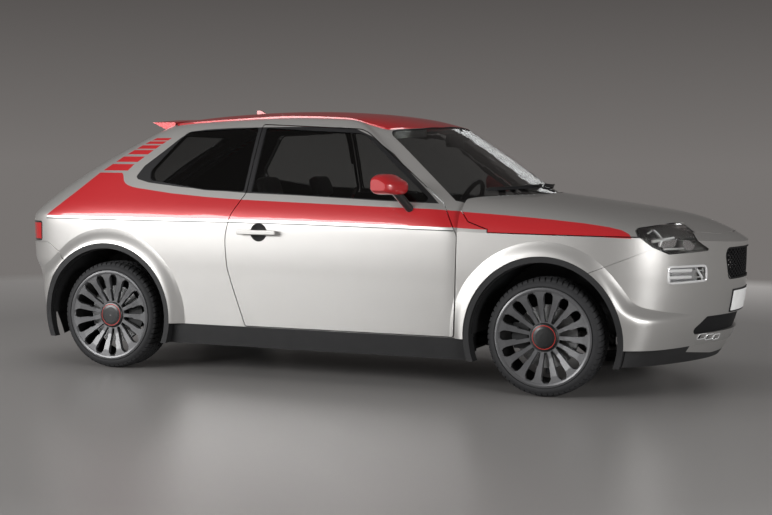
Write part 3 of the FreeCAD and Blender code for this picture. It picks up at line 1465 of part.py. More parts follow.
def steering_wheel():
    centre = wheel_centre()
    axis = wheel_axis()
    rim = Part.makeTorus(STEERING_WHEEL_RADIUS, STEERING_WHEEL_TUBE, centre, axis)
    hub_end = centre + axis * (STEERING_WHEEL_TUBE * 3 - SEAT_GAP)
    hub = rod(centre - axis * STEERING_WHEEL_TUBE, hub_end, COLUMN_RADIUS * 2)
    sideways = Vector(0, 1, 0)
    down = Vector(-axis.z, 0, axis.x) * -1.0
    spokes = []
    for way in (sideways, sideways * -1.0, down):
        spokes.append(rod(centre, centre + way * STEERING_WHEEL_RADIUS, STEERING_WHEEL_TUBE * 3 / 4))
    return rim.fuse([hub] + spokes).removeSplitter()


def engine_block():
    x0 = FRONT_AXLE_X - ENGINE_LENGTH / 3
    return box(
        x0, x0 + ENGINE_LENGTH, -ENGINE_HALF, ENGINE_HALF, RAIL_Z, RAIL_Z + ENGINE_HEIGHT, SEAT_RADIUS)


def cowl():
    """Plenum cover below the foot of the windscreen."""
    top = up(BELT_SHARE) - PLATE
    x0 = along(BULKHEAD_SHARE) + PLATE + SEAT_GAP
    half = across(COWL_HALF_SHARE)
    return box(x0, x0 + OVERRUN / 4, -half, half, top - PLATE * 3, top)


# Running gear

def tyre_profile():
    half = TYRE_WIDTH / 2
    crown = TYRE_CROWN
    waist = lerp(BEAD_RADIUS, TYRE_RADIUS, TYRE_WAIST_SHARE)
    shoulder = lerp(BEAD_RADIUS, TYRE_RADIUS, TYRE_SHOULDER_SHARE)
    return [
        (BEAD_RADIUS, crown - half), (RIM_RADIUS, crown - half), (waist, -half), (shoulder, crown / 2 - half),
        (TYRE_RADIUS - crown, crown * 2 - half), (TYRE_RADIUS, crown * 5 - half),
        (TYRE_RADIUS, half - crown * 5), (TYRE_RADIUS - crown, half - crown * 2),
        (shoulder, half - crown / 2), (waist, half), (RIM_RADIUS, half - crown), (BEAD_RADIUS, half - crown),
    ]


def tyre_at(x):
    return turned(x, [(radius, WHEEL_Y + y) for radius, y in tyre_profile()])


def hub_face_y():
    return TYRE_FACE_Y - DISH


def hub_back_y():
    return hub_face_y() - HUB_LENGTH + SPOKE_THICK


def disc_outer_y():
    return hub_back_y() - SEAT_GAP


def stub_end_y():
    return hub_face_y() - RIM_WALL - PANEL_GAP


def spoke(x):
    """One spoke through the full depth of the wheel, stepped on one side like the real casting."""
    points = [
        Vector(x + RIM_BARREL_RADIUS * out, 0, TYRE_RADIUS + RIM_BARREL_RADIUS * aside)
        for out, aside in SPOKE_SHARES
    ]
    face = Part.Face(Part.makePolygon(points + [points[0]]))
    return face.extrude(Vector(0, TYRE_FACE_Y + OVERRUN, 0))


def spoke_star(x):
    """All the spokes, cut to the dished band between hub and rim."""
    spokes = []
    for k in range(SPOKE_COUNT):
        turned_spoke = spoke(x)
        turned_spoke.rotate(Vector(x, 0, TYRE_RADIUS), Vector(0, 1, 0), 360 / SPOKE_COUNT * k)
        spokes.append(turned_spoke)
    front = [(RIM_BARREL_RADIUS * out, TYRE_FACE_Y - DISH * depth) for out, depth in DISH_SHARES]
    back = [(r, y - SPOKE_THICK) for r, y in reversed(front)]
    return Part.makeCompound(spokes).common(turned(x, front + back))


def rim_at(x):
    """Rim barrel, stepped spokes, hub, and domed cap with the seat of its ring."""
    face = TYRE_FACE_Y
    back = WHEEL_Y - TYRE_WIDTH / 2 + TYRE_CROWN
    seat = BEAD_RADIUS - SEAT_GAP
    shoulder = face - TYRE_CROWN + SEAT_GAP
    barrel = turned(x, [
        (seat, back), (seat, shoulder), (RIM_RADIUS, shoulder), (RIM_RADIUS, face),
        (RIM_RADIUS - RIM_WALL, face + RIM_WALL / 3), (RIM_RADIUS - RIM_WALL * 2, face),
        (RIM_BARREL_RADIUS, face - RIM_WALL), (RIM_BARREL_RADIUS, back),
    ])
    hub_face = hub_face_y()
    hub = turned(x, [
        (BEARING_RADIUS, hub_back_y()), (HUB_RADIUS, hub_back_y()), (HUB_RADIUS, hub_face),
        (BEARING_RADIUS, hub_face),
    ])
    dome = [(CAP_RADIUS * out, hub_face + CAP_STAND * stand) for out, stand in CAP_SHARES]
    cap = turned(x, [(0, hub_face - RIM_WALL), (CAP_RADIUS, hub_face - RIM_WALL)] + dome)
    ring = turned(x, [
        (CAP_RING_RADIUS, hub_face + CAP_STAND * CAP_SHARES[1][1] - CAP_RING_DEPTH),
        (CAP_RING_RADIUS, hub_face + CAP_STAND), (CAP_RING_RADIUS - CAP_RING_WIDTH, hub_face + CAP_STAND),
        (CAP_RING_RADIUS - CAP_RING_WIDTH, hub_face + CAP_STAND * CAP_SHARES[1][1] - CAP_RING_DEPTH),
    ])
    return barrel.fuse([hub, spoke_star(x), cap]).removeSplitter().cut(ring)


def disc_at(x):
    outer = disc_outer_y()
    inner = outer - DISC_THICK
    bore = BEARING_RADIUS
    return turned(x, [(bore, inner), (DISC_RADIUS, inner), (DISC_RADIUS, outer), (bore, outer)])


def caliper(x, way):
    """Brake caliper over the edge of a disc, on the side that way points to along x."""
    inner = disc_outer_y() - DISC_THICK - PANEL_GAP
    outer = disc_outer_y() + PANEL_GAP
    top = DISC_RADIUS + PANEL_GAP
    near = DISC_RADIUS - CALIPER_HEIGHT / 2
    saddle = turned(x, [
        (KNUCKLE_HALF - PANEL_GAP, inner - CALIPER_WALL), (top + CALIPER_WALL, inner - CALIPER_WALL),
        (top + CALIPER_WALL, outer + CALIPER_WALL), (near, outer + CALIPER_WALL), (near, outer), (top, outer),
        (top, inner), (KNUCKLE_HALF - PANEL_GAP, inner),
    ])
    half = CALIPER_HEIGHT / 2
    x0 = min(x, x + way * OVERRUN)
    return saddle.common(box(x0, x0 + OVERRUN, 0, HALF_WIDTH, TYRE_RADIUS - half, TYRE_RADIUS + half))


def knuckle():
    """Front upright with its stub axle and brake caliper."""
    x = FRONT_AXLE_X
    y1 = disc_outer_y() - DISC_THICK - PANEL_GAP
    half = KNUCKLE_HALF
    body = box(x - half, x + half, y1 - KNUCKLE_THICK, y1, TYRE_RADIUS - half * 2, TYRE_RADIUS + half * 2)
    stub = rod(
        Vector(x, y1 - KNUCKLE_THICK, TYRE_RADIUS), Vector(x, stub_end_y(), TYRE_RADIUS),
        BEARING_RADIUS - SEAT_GAP)
    return body.fuse([stub, caliper(x, -1)]).removeSplitter()


def knuckle_y():
    return disc_outer_y() - DISC_THICK - PANEL_GAP - KNUCKLE_THICK / 2


def lower_arm():
    """Arm from the subframe out to the ball joint below the knuckle."""
    x = FRONT_AXLE_X
    top = TYRE_RADIUS - KNUCKLE_HALF * 2 - SEAT_GAP
    root = RAIL_Y - BEAM_DEPTH
    root_z = RAIL_Z - BEAM_DEPTH / 2
    elbow = WHEEL_Y - TYRE_WIDTH / 2
    low = top - BALL_HEIGHT
    end = knuckle_y()
    outline = [
        (root, root_z), (elbow, low), (end, low), (end, low - ARM_HEIGHT), (elbow, low - ARM_HEIGHT),
        (root, root_z - ARM_HEIGHT),
    ]
    arm = front_prism(outline, x - BALL_RADIUS * 2 / 3, x + BALL_RADIUS * 2 / 3)
    cup = rod(Vector(x, end, low - ARM_HEIGHT - PANEL_GAP), Vector(x, end, top), BALL_RADIUS)
    return cup.fuse(arm)


def front_subframe():
    arm_y = RAIL_Y - BEAM_DEPTH / 2
    z = RAIL_Z - SEAT_GAP
    x = FRONT_AXLE_X
    beam = box(x - BEAM_DEPTH, x + BEAM_DEPTH, -arm_y, arm_y, z - BEAM_DEPTH, z)
    return beam.fuse(sides(lower_arm())).removeSplitter()


def rear_axle():
    """Beam between the rear wheels, with trailing arms forward to the floor and a stub at each end."""
    y1 = disc_outer_y() - DISC_THICK - PANEL_GAP
    y2 = stub_end_y()
    x = REAR_AXLE_X
    z0 = TYRE_RADIUS - TRAILING_ARM_HEIGHT / 2
    beam = rod(Vector(x, -y1, TYRE_RADIUS), Vector(x, y1, TYRE_RADIUS), BEAM_RADIUS)
    plate = box(
        x - BEAM_RADIUS * 2, x + KNUCKLE_HALF, y1 - CALIPER_WALL, y1, TYRE_RADIUS - BEAM_RADIUS,
        TYRE_RADIUS + BEAM_RADIUS)
    stubs = rod(Vector(x, -y2, TYRE_RADIUS), Vector(x, y2, TYRE_RADIUS), BEARING_RADIUS - SEAT_GAP)
    arm = box(
        x, floor_rear() - SEAT_GAP, TRAILING_ARM_Y, TRAILING_ARM_Y + TRAILING_ARM_WIDTH, z0,
        z0 + TRAILING_ARM_HEIGHT)
    return beam.fuse([stubs] + sides(arm.fuse([plate, caliper(x, 1)]))).removeSplitter()


def pair(name, left):
    return {name + "_left": left, name + "_right": mirrored(left)}


def build():
    nodes = {
        "floor_pan": floor_pan(),
        "roof_panel": roof_panel(),
        "front_bumper": front_bumper(),
        "rear_bumper": rear_bumper(),
        "front_splitter": front_splitter(),
        "rear_valance": rear_valance(),
        "side_cladding": side_cladding(),
        "wheel_liners": wheel_liners(),
        "grille": grille_insert(),
        "headlamp_housings": both(headlamp_housing()),
        "headlamp_lenses": Part.makeCompound(sides(headlamp_lens()) + sides(fog_lens())),
        "fog_lamps": both(fog_lamp()),
        "tail_lamps": both(tail_lamp()),
        "windscreen": windscreen(),
        "quarter_windows": both(quarter_window()),
        "cowl": cowl(),
        "dashboard": dashboard(),
        "front_seats": both(front_seat()),
        "rear_bench": rear_bench(),
        "engine_block": engine_block(),
        "front_subframe": front_subframe(),
        "rear_axle": rear_axle(),
        "bonnet_panel": bonnet_panel(),
        "tailgate_shell": tailgate_shell(),
        "rear_screen": rear_screen(),
        "rear_spoiler": rear_spoiler(),
        "steering_wheel": steering_wheel(),
    }
    nodes.update(pair("side_frame", side_frame()))
    nodes.update(pair("front_wing", front_wing()))
    nodes.update(pair("door_shell", door_shell()))
    nodes.update(pair("door_glass", door_glass()))
    nodes.update(pair("mirror", mirror_housing()))
    nodes.update(pair("door_handle", door_handle()))
    nodes.update(pair("knuckle", knuckle()))
    for name, x, side in WHEEL_PLACES:
        for kind, make in (("tyre", tyre_at), ("rim", rim_at), ("disc", disc_at)):
            shape = make(x)
            nodes[kind + "_" + name] = shape if side > 0 else mirrored(shape)
    return nodes


os.makedirs("parts", exist_ok=True)
for name, shape in build().items():
    shape.exportStep("parts/" + name + ".step")
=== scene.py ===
"""Looks of the three-door rally hatchback: finishes, trim, tread, seats and studio.

Everything is in metres in the car's own frame: +X is the nose, +Y the left side, +Z up, with the
origin on the ground halfway along the length and width. Trim finds its places on the frame's nodes;
the livery follows lines read off the side view.
"""

import json
import math

import bmesh
import bpy
from mathutils import Matrix, Vector
from mathutils.bvhtree import BVHTree


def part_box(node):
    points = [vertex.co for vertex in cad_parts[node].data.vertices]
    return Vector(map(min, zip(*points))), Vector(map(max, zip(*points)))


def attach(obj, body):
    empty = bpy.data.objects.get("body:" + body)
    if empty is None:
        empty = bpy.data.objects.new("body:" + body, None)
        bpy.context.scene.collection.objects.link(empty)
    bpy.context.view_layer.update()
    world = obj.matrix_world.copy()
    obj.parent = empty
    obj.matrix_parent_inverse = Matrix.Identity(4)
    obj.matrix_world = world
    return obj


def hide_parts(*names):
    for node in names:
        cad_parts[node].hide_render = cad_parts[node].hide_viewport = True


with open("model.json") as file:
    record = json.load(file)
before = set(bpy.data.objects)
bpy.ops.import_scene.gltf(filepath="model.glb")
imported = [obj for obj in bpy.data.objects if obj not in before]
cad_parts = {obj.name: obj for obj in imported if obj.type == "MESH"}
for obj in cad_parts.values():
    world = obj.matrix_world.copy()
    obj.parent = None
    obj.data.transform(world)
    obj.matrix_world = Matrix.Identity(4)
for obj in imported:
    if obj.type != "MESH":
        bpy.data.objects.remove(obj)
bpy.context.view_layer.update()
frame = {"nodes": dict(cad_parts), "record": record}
NODES = frame["nodes"]
SIDES = (("left", 1), ("right", -1))

# Camera, as fitted to the photograph
IMAGE_WIDTH = 772
CAMERA_PLACE = Vector((3.159, -7.798, 1.159))
CAMERA_YAW = math.radians(22.089)
CAMERA_PITCH = math.radians(3.609)
CAMERA_ROLL = math.radians(0.398)
FOCAL_PIXELS = 1459.2
SENSOR_MM = 36.0
IMAGE_MIDDLE_SHIFT = -1.6
FAR_CLIP = 200.0

# Colours
SILVER = (0.47, 0.46, 0.445, 1)
WHITE = (0.72, 0.72, 0.70, 1)
RED = (0.42, 0.014, 0.018, 1)
CAP_RED_COLOUR = (0.55, 0.03, 0.02, 1)
LENS_RED = (0.36, 0.008, 0.010, 1)
LENS_BRIGHT = (0.46, 0.012, 0.014, 1)
BLACK = (0.012, 0.012, 0.013, 1)
SATIN_BLACK = (0.014, 0.014, 0.0145, 1)
RUBBER = (0.020, 0.020, 0.021, 1)
LEATHER = (0.02, 0.02, 0.02, 1)
CABIN_BLACK = (0.03, 0.03, 0.032, 1)
CLOTH = (0.050, 0.050, 0.054, 1)
GUNMETAL = (0.085, 0.085, 0.088, 1)
DISC_GREY = (0.16, 0.16, 0.16, 1)
BOWL_GREY = (0.16, 0.158, 0.155, 1)
ALLOY = (0.42, 0.42, 0.43, 1)
REFLECTOR = (0.80, 0.80, 0.81, 1)
# The chromes are only partly metallic, so their near-white colour also shows as diffuse white: painted
# reflection on real chrome.
LAMP_CHROME = (0.84, 0.84, 0.85, 1)
TRIM_CHROME = (0.88, 0.88, 0.88, 1)
MIRROR_SILVER = (0.85, 0.86, 0.87, 1)
LENS_CLEAR = (0.96, 0.97, 0.97, 1)
GLASS_TINT = (0.40, 0.41, 0.41, 1)
SKY_LIGHT = (0.80, 0.80, 0.80, 1)
# The far floor colour is painted paler as painted light, where the lamps reach the floor less
FLOOR_PAINTED_LIGHT = (0.46, 0.442, 0.43, 1)
PALE_NEAR = (0.24, 0.231, 0.225, 1)
WALL = (0.180, 0.168, 0.161, 1)
WALL_TOP = (0.088, 0.081, 0.078, 1)

# Noise, in cells per metre
GLASS_WANDER = 2.0
PAINT_WANDER = 3.0
CLOTH_WANDER = 5.0
LENS_WANDER = 8.0
BLOTCH = 14.0
METAL_BLOTCH = 30.0
BOWL_BLOTCH = 60.0
METAL_GRAIN = 220.0
WHEEL_GRAIN = 500.0
FLAKE_SHINE = 900.0
FLAKE_RELIEF = 1400.0
SPLITTER_GRAIN = 1500.0
TURNED_RINGS = 5200.0
LENS_RIBS_LEVEL = 700.0
LENS_RIBS_UPRIGHT = 500.0
THREADS = 2400.0

# Livery, as lines seen from the side: length against height
CURVE_TOP = 1.5
EDGE_SOFT = 0.0010
BAND_FOOT = [
    (-1.900, 0.853), (-1.794, 0.853), (-1.107, 0.854), (-0.592, 0.855), (-0.156, 0.853), (0.280, 0.846),
    (0.700, 0.839), (1.700, 0.800)]
BONNET_FOOT = [(-1.900, 0.780), (1.700, 0.780)]
BAND_TOP = [
    (-1.193, 1.015), (-0.965, 0.989), (-0.734, 0.972), (-0.539, 0.962), (-0.142, 0.950), (0.268, 0.938),
    (0.560, 0.931), (0.709, 0.921), (0.966, 0.906), (1.191, 0.890), (1.365, 0.874), (1.483, 0.858),
    (1.547, 0.844), (1.590, 0.824), (1.615, 0.780)]
BAND_TOP_FADE = 0.002
BAND_CORNER = [
    (-1.335, 1.400), (-1.325, 1.096), (-1.319, 1.091), (-1.311, 1.080), (-1.300, 1.055), (-1.285, 1.041),
    (-1.264, 1.030), (-1.230, 1.021), (-1.193, 1.015)]
PILLAR_EDGE = [
    (-1.815, 0.780), (-1.800, 0.850), (-1.710, 0.916), (-1.625, 0.983), (-1.545, 1.052), (-1.485, 1.103),
    (-1.425, 1.144), (-1.356, 1.192), (-1.294, 1.230), (-1.248, 1.256), (-1.205, 1.278), (-1.150, 1.302)]
PILLAR_INNER = [
    (-1.300, 1.103), (-1.265, 1.142), (-1.204, 1.190), (-1.156, 1.228), (-1.118, 1.255), (-1.086, 1.277),
    (-1.055, 1.298)]
PILLAR_TOP = 1.099
PILLAR_BARS = [
    (1.111, 1.148), (1.160, 1.191), (1.203, 1.228), (1.235, 1.255), (1.262, 1.277), (1.282, 1.296)]
WINDOW_TOP = [
    (-1.226, 1.060), (-1.221, 1.085), (-1.186, 1.140), (-1.091, 1.216), (-0.999, 1.296), (-0.942, 1.332),
    (-0.840, 1.344), (-0.671, 1.352), (-0.496, 1.355), (-0.235, 1.357), (-0.024, 1.353), (0.070, 1.344),
    (0.163, 1.306), (0.303, 1.212), (0.420, 1.109), (0.538, 1.010), (0.600, 0.955)]
WINDOW_FOOT = [
    (-1.230, 1.085), (-1.209, 1.064), (-1.132, 1.046), (-0.918, 1.024), (-0.692, 1.008), (-0.510, 0.997),
    (-0.150, 0.987), (0.262, 0.969), (0.600, 0.958)]
LIVERY_HALF = 0.52
STRIPE_HEIGHT = 0.013
# Height of the dark line under the stripe: painted shade in the crease's groove
GROOVE_SHADE_HEIGHT = 0.006

# Limits of the other masks
WHEEL_HEIGHT = 0.3005
AXLES_MIDDLE = -0.090
HALF_WHEELBASE = 1.260
CAP_EDGE = 0.0725
SPOKE_BACK = 0.774
BARREL_EDGE = 0.213
BARREL_FACE = 0.806
MIRROR_FOOT = 1.006
HANDLE_CUP = (-0.400, 0.880, 0.790)
HANDLE_CUP_RADIUS = 0.0622
HANDLE_CUP_SOFT = 0.0003
LAMP_PODS = [(0.6526, 0.7882), (0.5473, 0.7780)]
LAMP_POD_RADIUS = 0.0365
LAMP_GREY_EDGE = 0.600
TAIL_LAMP_RIM = (0.716, 0.808, -1.842)
BLADE_FOOT = (0.196, 0.225)
BLADE_RISE = (0.20, 0.47)
BLADE_HALF = 0.46


# Node helpers

def shader(name):
    """A new material with its node tree and its Principled shader."""
    material = bpy.data.materials.new(name)
    material.use_nodes = True
    return material, material.node_tree, material.node_tree.nodes["Principled BSDF"]


def set_inputs(node, **values):
    for key, value in values.items():
        node.inputs[key.replace("_", " ")].default_value = value


def add(tree, kind, **values):
    node = tree.nodes.new(kind)
    for key, value in values.items():
        setattr(node, key, value)
    return node


def link(tree, a, b):
    tree.links.new(a, b)


def feed(tree, node, **sources):
    """Links a source to each input that is named."""
    for key, source in sources.items():
        link(tree, source, node.inputs[key.replace("_", " ")])


def axes_of(tree, source="Object"):
    """The three parts of a coordinate; Object is the car's frame, which rides with the piece."""
    node = add(tree, "ShaderNodeSeparateXYZ")
    link(tree, add(tree, "ShaderNodeTexCoord").outputs[source], node.inputs[0])
    return tuple(node.outputs)


def maths(tree, operation, *values):
    node = add(tree, "ShaderNodeMath", operation=operation)
    for socket, value in zip(node.inputs, values):
        if isinstance(value, (int, float)):
            socket.default_value = value
        else:
            link(tree, value, socket)
    return node.outputs[0]


def size_of(tree, value):
    return maths(tree, "ABSOLUTE", value)


def length_of(tree, *parts):
    """Length of a line from its parts along the axes."""
    total = maths(tree, "MULTIPLY", parts[0], parts[0])
    for part in parts[1:]:
        total = maths(tree, "ADD", total, maths(tree, "MULTIPLY", part, part))
    return maths(tree, "SQRT", total)


def noise(tree, scale, detail=2.0):
    node = add(tree, "ShaderNodeTexNoise")
    set_inputs(node, Scale=scale, Detail=detail, Roughness=0.5)
    link(tree, add(tree, "ShaderNodeTexCoord").outputs["Object"], node.inputs["Vector"])
    return node.outputs["Fac"]


def blend(tree, factor, a, b):
    node = add(tree, "ShaderNodeMix", data_type="RGBA")
    for socket, value in ((node.inputs[6], a), (node.inputs[7], b)):
        if isinstance(value, tuple):
            socket.default_value = value
        else:
            link(tree, value, socket)
    link(tree, factor, node.inputs[0])
    return node.outputs[2]


def mix_shaders(tree, factor, a, b):
    node = add(tree, "ShaderNodeMixShader")
    for socket, source in zip(node.inputs, (factor, a.outputs[0], b.outputs[0])):
        link(tree, source, socket)
    return node.outputs[0]


def bump(tree, height, strength, distance):
    node = add(tree, "ShaderNodeBump")
    set_inputs(node, Strength=strength, Distance=distance)
    link(tree, height, node.inputs["Height"])
    return node.outputs["Normal"]


def ramp(tree, factor, low, high, start=0.0, end=1.0):
    node = add(tree, "ShaderNodeMapRange")
    set_inputs(node, From_Min=start, From_Max=end, To_Min=low, To_Max=high)
    link(tree, factor, node.inputs["Value"])
    return node.outputs["Result"]


def shade(colour, share):
    return tuple(min(1.0, c * share) for c in colour[:3]) + (1,)


def height_at(tree, x, points):
    """Height of a line through the points at each place along the car."""
    low, high = points[0][0], points[-1][0]
    node = add(tree, "ShaderNodeFloatCurve")
    line = node.mapping.curves[0]
    shares = [((a - low) / (high - low), z / CURVE_TOP) for a, z in points]
    line.points[0].location = shares[0]
    line.points[1].location = shares[-1]
    for share in shares[1:-1]:
        line.points.new(*share)
    for point in line.points:
        point.handle_type = "VECTOR"
    node.mapping.update()
    link(tree, ramp(tree, x, 0.0, 1.0, low, high), node.inputs["Value"])
    return maths(tree, "MULTIPLY", node.outputs[0], CURVE_TOP)


def above(tree, value, limit, soft=EDGE_SOFT):
    """One where the value is over the limit, nought below it."""
    return ramp(tree, maths(tree, "SUBTRACT", value, limit), 0.0, 1.0, -soft, soft)


def below(tree, value, limit, soft=EDGE_SOFT):
    return ramp(tree, maths(tree, "SUBTRACT", value, limit), 1.0, 0.0, -soft, soft)


def both(tree, *masks):
    result = masks[0]
    for mask in masks[1:]:
        result = maths(tree, "MULTIPLY", result, mask)
    return result


def either(tree, *masks):
    result = masks[0]
    for mask in masks[1:]:
        result = maths(tree, "MAXIMUM", result, mask)
    return result


# Materials

def livery(tree, foot):
    """Masks of the red livery, of the white stripe under it, and of the dark line under the stripe, which is
    painted shade in the crease's groove.
    """
    x, y, z = axes_of(tree)
    flank = above(tree, size_of(tree, y), LIVERY_HALF)
    foot_z = height_at(tree, x, foot)
    edge = below(tree, z, height_at(tree, x, PILLAR_EDGE))
    behind = ramp(tree, x, 1.0, 0.0, BAND_TOP[0][0] - BAND_TOP_FADE, BAND_TOP[0][0])
    top = below(tree, z, maths(tree, "ADD", height_at(tree, x, BAND_TOP), behind))
    corner = below(tree, z, height_at(tree, x, BAND_CORNER))
    main = both(tree, above(tree, z, foot_z), edge, top, corner, below(tree, z, PILLAR_TOP))
    rows = [both(tree, above(tree, z, low), below(tree, z, high)) for low, high in PILLAR_BARS]
    inner = above(tree, z, height_at(tree, x, PILLAR_INNER))
    bars = both(tree, either(tree, *rows), edge, inner, below(tree, x, PILLAR_INNER[-1][0]))
    red = both(tree, flank, either(tree, main, bars))
    length = both(tree, above(tree, x, BAND_FOOT[1][0]), below(tree, x, BAND_FOOT[-2][0]), flank)
    under = maths(tree, "SUBTRACT", foot_z, z)
    stripe = both(tree, length, above(tree, under, 0.0), below(tree, under, STRIPE_HEIGHT))
    # The groove mask is painted shade: a dark line just under the white stripe, where the crease's groove
    # lies in shadow.
    groove_shade_foot = below(tree, under, STRIPE_HEIGHT + GROOVE_SHADE_HEIGHT)
    groove = both(tree, length, above(tree, under, STRIPE_HEIGHT), groove_shade_foot)
    return red, stripe, groove


def handle_cup(tree):
    """Mask of the dark cup behind each door handle."""
    x, y, z = axes_of(tree)
    places = zip((x, size_of(tree, y), z), HANDLE_CUP)
    far = length_of(tree, *[maths(tree, "SUBTRACT", value, middle) for value, middle in places])
    return below(tree, far, HANDLE_CUP_RADIUS, HANDLE_CUP_SOFT)


def window_band(tree):
    """Mask of the black gloss between and round the side windows."""
    x, y, z = axes_of(tree)
    over = above(tree, z, height_at(tree, x, WINDOW_FOOT))
    under = below(tree, z, height_at(tree, x, WINDOW_TOP))
    length = both(tree, above(tree, x, WINDOW_TOP[0][0]), below(tree, x, WINDOW_TOP[-1][0]))
    return both(tree, over, under, length, above(tree, size_of(tree, y), LIVERY_HALF))


def inner_side(tree):
    """Mask of faces that look to the car's middle, such as door linings."""
    y = axes_of(tree)[1]
    facing = axes_of(tree, "Normal")[1]
    return below(tree, maths(tree, "MULTIPLY", facing, maths(tree, "SIGN", y)), -0.35, 0.1)


def axle_distance(tree, x, z):
    """Distance from the nearer axle, seen from the side."""
    dx = maths(tree, "SUBTRACT", size_of(tree, maths(tree, "SUBTRACT", x, AXLES_MIDDLE)), HALF_WHEELBASE)
    return length_of(tree, dx, maths(tree, "SUBTRACT", z, WHEEL_HEIGHT))


def mottle(tree, scale, a, b, detail=2.0):
    """Colour that wanders between two."""
    return blend(tree, noise(tree, scale, detail), a, b)


def flake_paint(tree, bsdf, metallic, roughness):
    """Fine flake under a clear coat."""
    feed(tree, bsdf, Roughness=ramp(tree, noise(tree, FLAKE_SHINE), roughness * 0.9, roughness * 1.15),
         Normal=bump(tree, noise(tree, FLAKE_RELIEF), 0.04, 0.0001))
    set_inputs(bsdf, Metallic=metallic, Coat_Weight=0.6, Coat_Roughness=0.04)


def paint(name, colour, metallic, roughness):
    """Car paint with a faint wander in colour."""
    material, tree, bsdf = shader(name)
    feed(tree, bsdf, Base_Color=mottle(tree, PAINT_WANDER, shade(colour, 0.94), colour))
    flake_paint(tree, bsdf, metallic, roughness)
    return material


def body_paint(name, foot):
    """Silver paint with the red livery, its white stripe, the dark line of painted shade in the crease's
    groove under it, and dark linings and handle cups.
    """
    material, tree, bsdf = shader(name)
    red, stripe, groove = livery(tree, foot)
    dark = either(tree, inner_side(tree), handle_cup(tree))
    windows = window_band(tree)
    colour = mottle(tree, PAINT_WANDER, shade(SILVER, 0.95), SILVER)
    # The groove takes near-black silver as painted shade in the crease.
    for mask, over in ((red, RED), (stripe, WHITE), (groove, shade(SILVER, 0.12)),
                       (dark, shade(SATIN_BLACK, 1.6)), (windows, BLACK)):
        colour = blend(tree, mask, colour, over)
    flake_paint(tree, bsdf, 0.6, 0.36)
    plain = either(tree, dark, windows, ramp(tree, red, 0.0, 0.8))
    feed(tree, bsdf, Base_Color=colour, Metallic=ramp(tree, plain, 0.65, 0.02))
    return material


def moulded(name, colour, roughness, grain, depth):
    """Moulded plastic or rubber with a fine grain."""
    material, tree, bsdf = shader(name)
    fine = noise(tree, grain, 3.0)
    feed(tree, bsdf, Base_Color=mottle(tree, BLOTCH, colour, shade(colour, 1.5), 4.0),
         Roughness=ramp(tree, fine, roughness * 0.85, roughness * 1.15),
         Normal=bump(tree, fine, 0.5, depth))
    set_inputs(bsdf, Specular_IOR_Level=0.25)
    return material


def metal(name, colour, roughness, metallic=1.0):
    material, tree, bsdf = shader(name)
    feed(tree, bsdf, Base_Color=mottle(tree, METAL_BLOTCH, shade(colour, 0.9), colour),
         Roughness=ramp(tree, noise(tree, METAL_GRAIN, 3.0), roughness * 0.8, roughness * 1.2))
    set_inputs(bsdf, Metallic=metallic)
    return material


def turned_metal(name, colour, roughness):
    """Metal with fine rings about a wheel's axle."""
    material, tree, bsdf = shader(name)
    x, _, z = axes_of(tree)
    rings = maths(tree, "SINE", maths(tree, "MULTIPLY", axle_distance(tree, x, z), TURNED_RINGS))
    feed(tree, bsdf, Base_Color=mottle(tree, METAL_BLOTCH, shade(colour, 0.8), colour),
         Normal=bump(tree, rings, 0.3, 0.0003))
    set_inputs(bsdf, Metallic=1.0, Roughness=roughness)
    return material


def wheel_finish(name):
    """Dark spokes with a black cap; the barrel and all that lies deeper than the spokes' backs are painted
    near black as painted shade; all by depth and distance from the axle.
    """
    material, tree, bsdf = shader(name)
    x, y, z = axes_of(tree)
    out = size_of(tree, y)
    radius = axle_distance(tree, x, z)
    cap = below(tree, radius, CAP_EDGE)
    deep_shade = below(tree, out, SPOKE_BACK, 0.004)
    barrel_shade = both(tree, above(tree, radius, BARREL_EDGE), below(tree, out, BARREL_FACE, 0.003))
    colour = mottle(tree, METAL_BLOTCH, shade(GUNMETAL, 0.9), shade(GUNMETAL, 1.1))
    # The cap is black of its own; the barrel and the deep parts take near-black gunmetal as painted shade.
    colour = blend(tree, either(tree, cap, deep_shade, barrel_shade), colour, shade(GUNMETAL, 0.10))
    feed(tree, bsdf, Base_Color=colour, Roughness=ramp(tree, noise(tree, WHEEL_GRAIN), 0.36, 0.46),
         Normal=bump(tree, noise(tree, FLAKE_RELIEF), 0.08, 0.0001))
    set_inputs(bsdf, Metallic=0.35, Coat_Weight=0.3, Coat_Roughness=0.2)
    return material


def mirror_finish(name):
    """Red cap on a black foot and a black back."""
    material, tree, bsdf = shader(name)
    foot = below(tree, axes_of(tree)[2], MIRROR_FOOT, 0.002)
    back = below(tree, axes_of(tree, "Normal")[0], -0.75, 0.05)
    colour = mottle(tree, PAINT_WANDER, shade(RED, 0.94), RED)
    feed(tree, bsdf, Base_Color=blend(tree, either(tree, foot, back), colour, SATIN_BLACK))
    flake_paint(tree, bsdf, 0.05, 0.34)
    return material


def splitter_finish(name):
    """Black lip with its silver blade under the intake."""
    material, tree, bsdf = shader(name)
    _, y, z = axes_of(tree)
    out = size_of(tree, y)
    foot = ramp(tree, out, *BLADE_FOOT, *BLADE_RISE)
    blade = both(tree, above(tree, z, foot), below(tree, out, BLADE_HALF))
    colour = mottle(tree, BLOTCH, SATIN_BLACK, shade(SATIN_BLACK, 1.5), 4.0)
    feed(tree, bsdf, Base_Color=blend(tree, blade, colour, SILVER),
         Roughness=ramp(tree, blade, 0.50, 0.34), Metallic=ramp(tree, blade, 0.0, 0.6),
         Normal=bump(tree, noise(tree, SPLITTER_GRAIN, 3.0), 0.4, 0.0002))
    return material


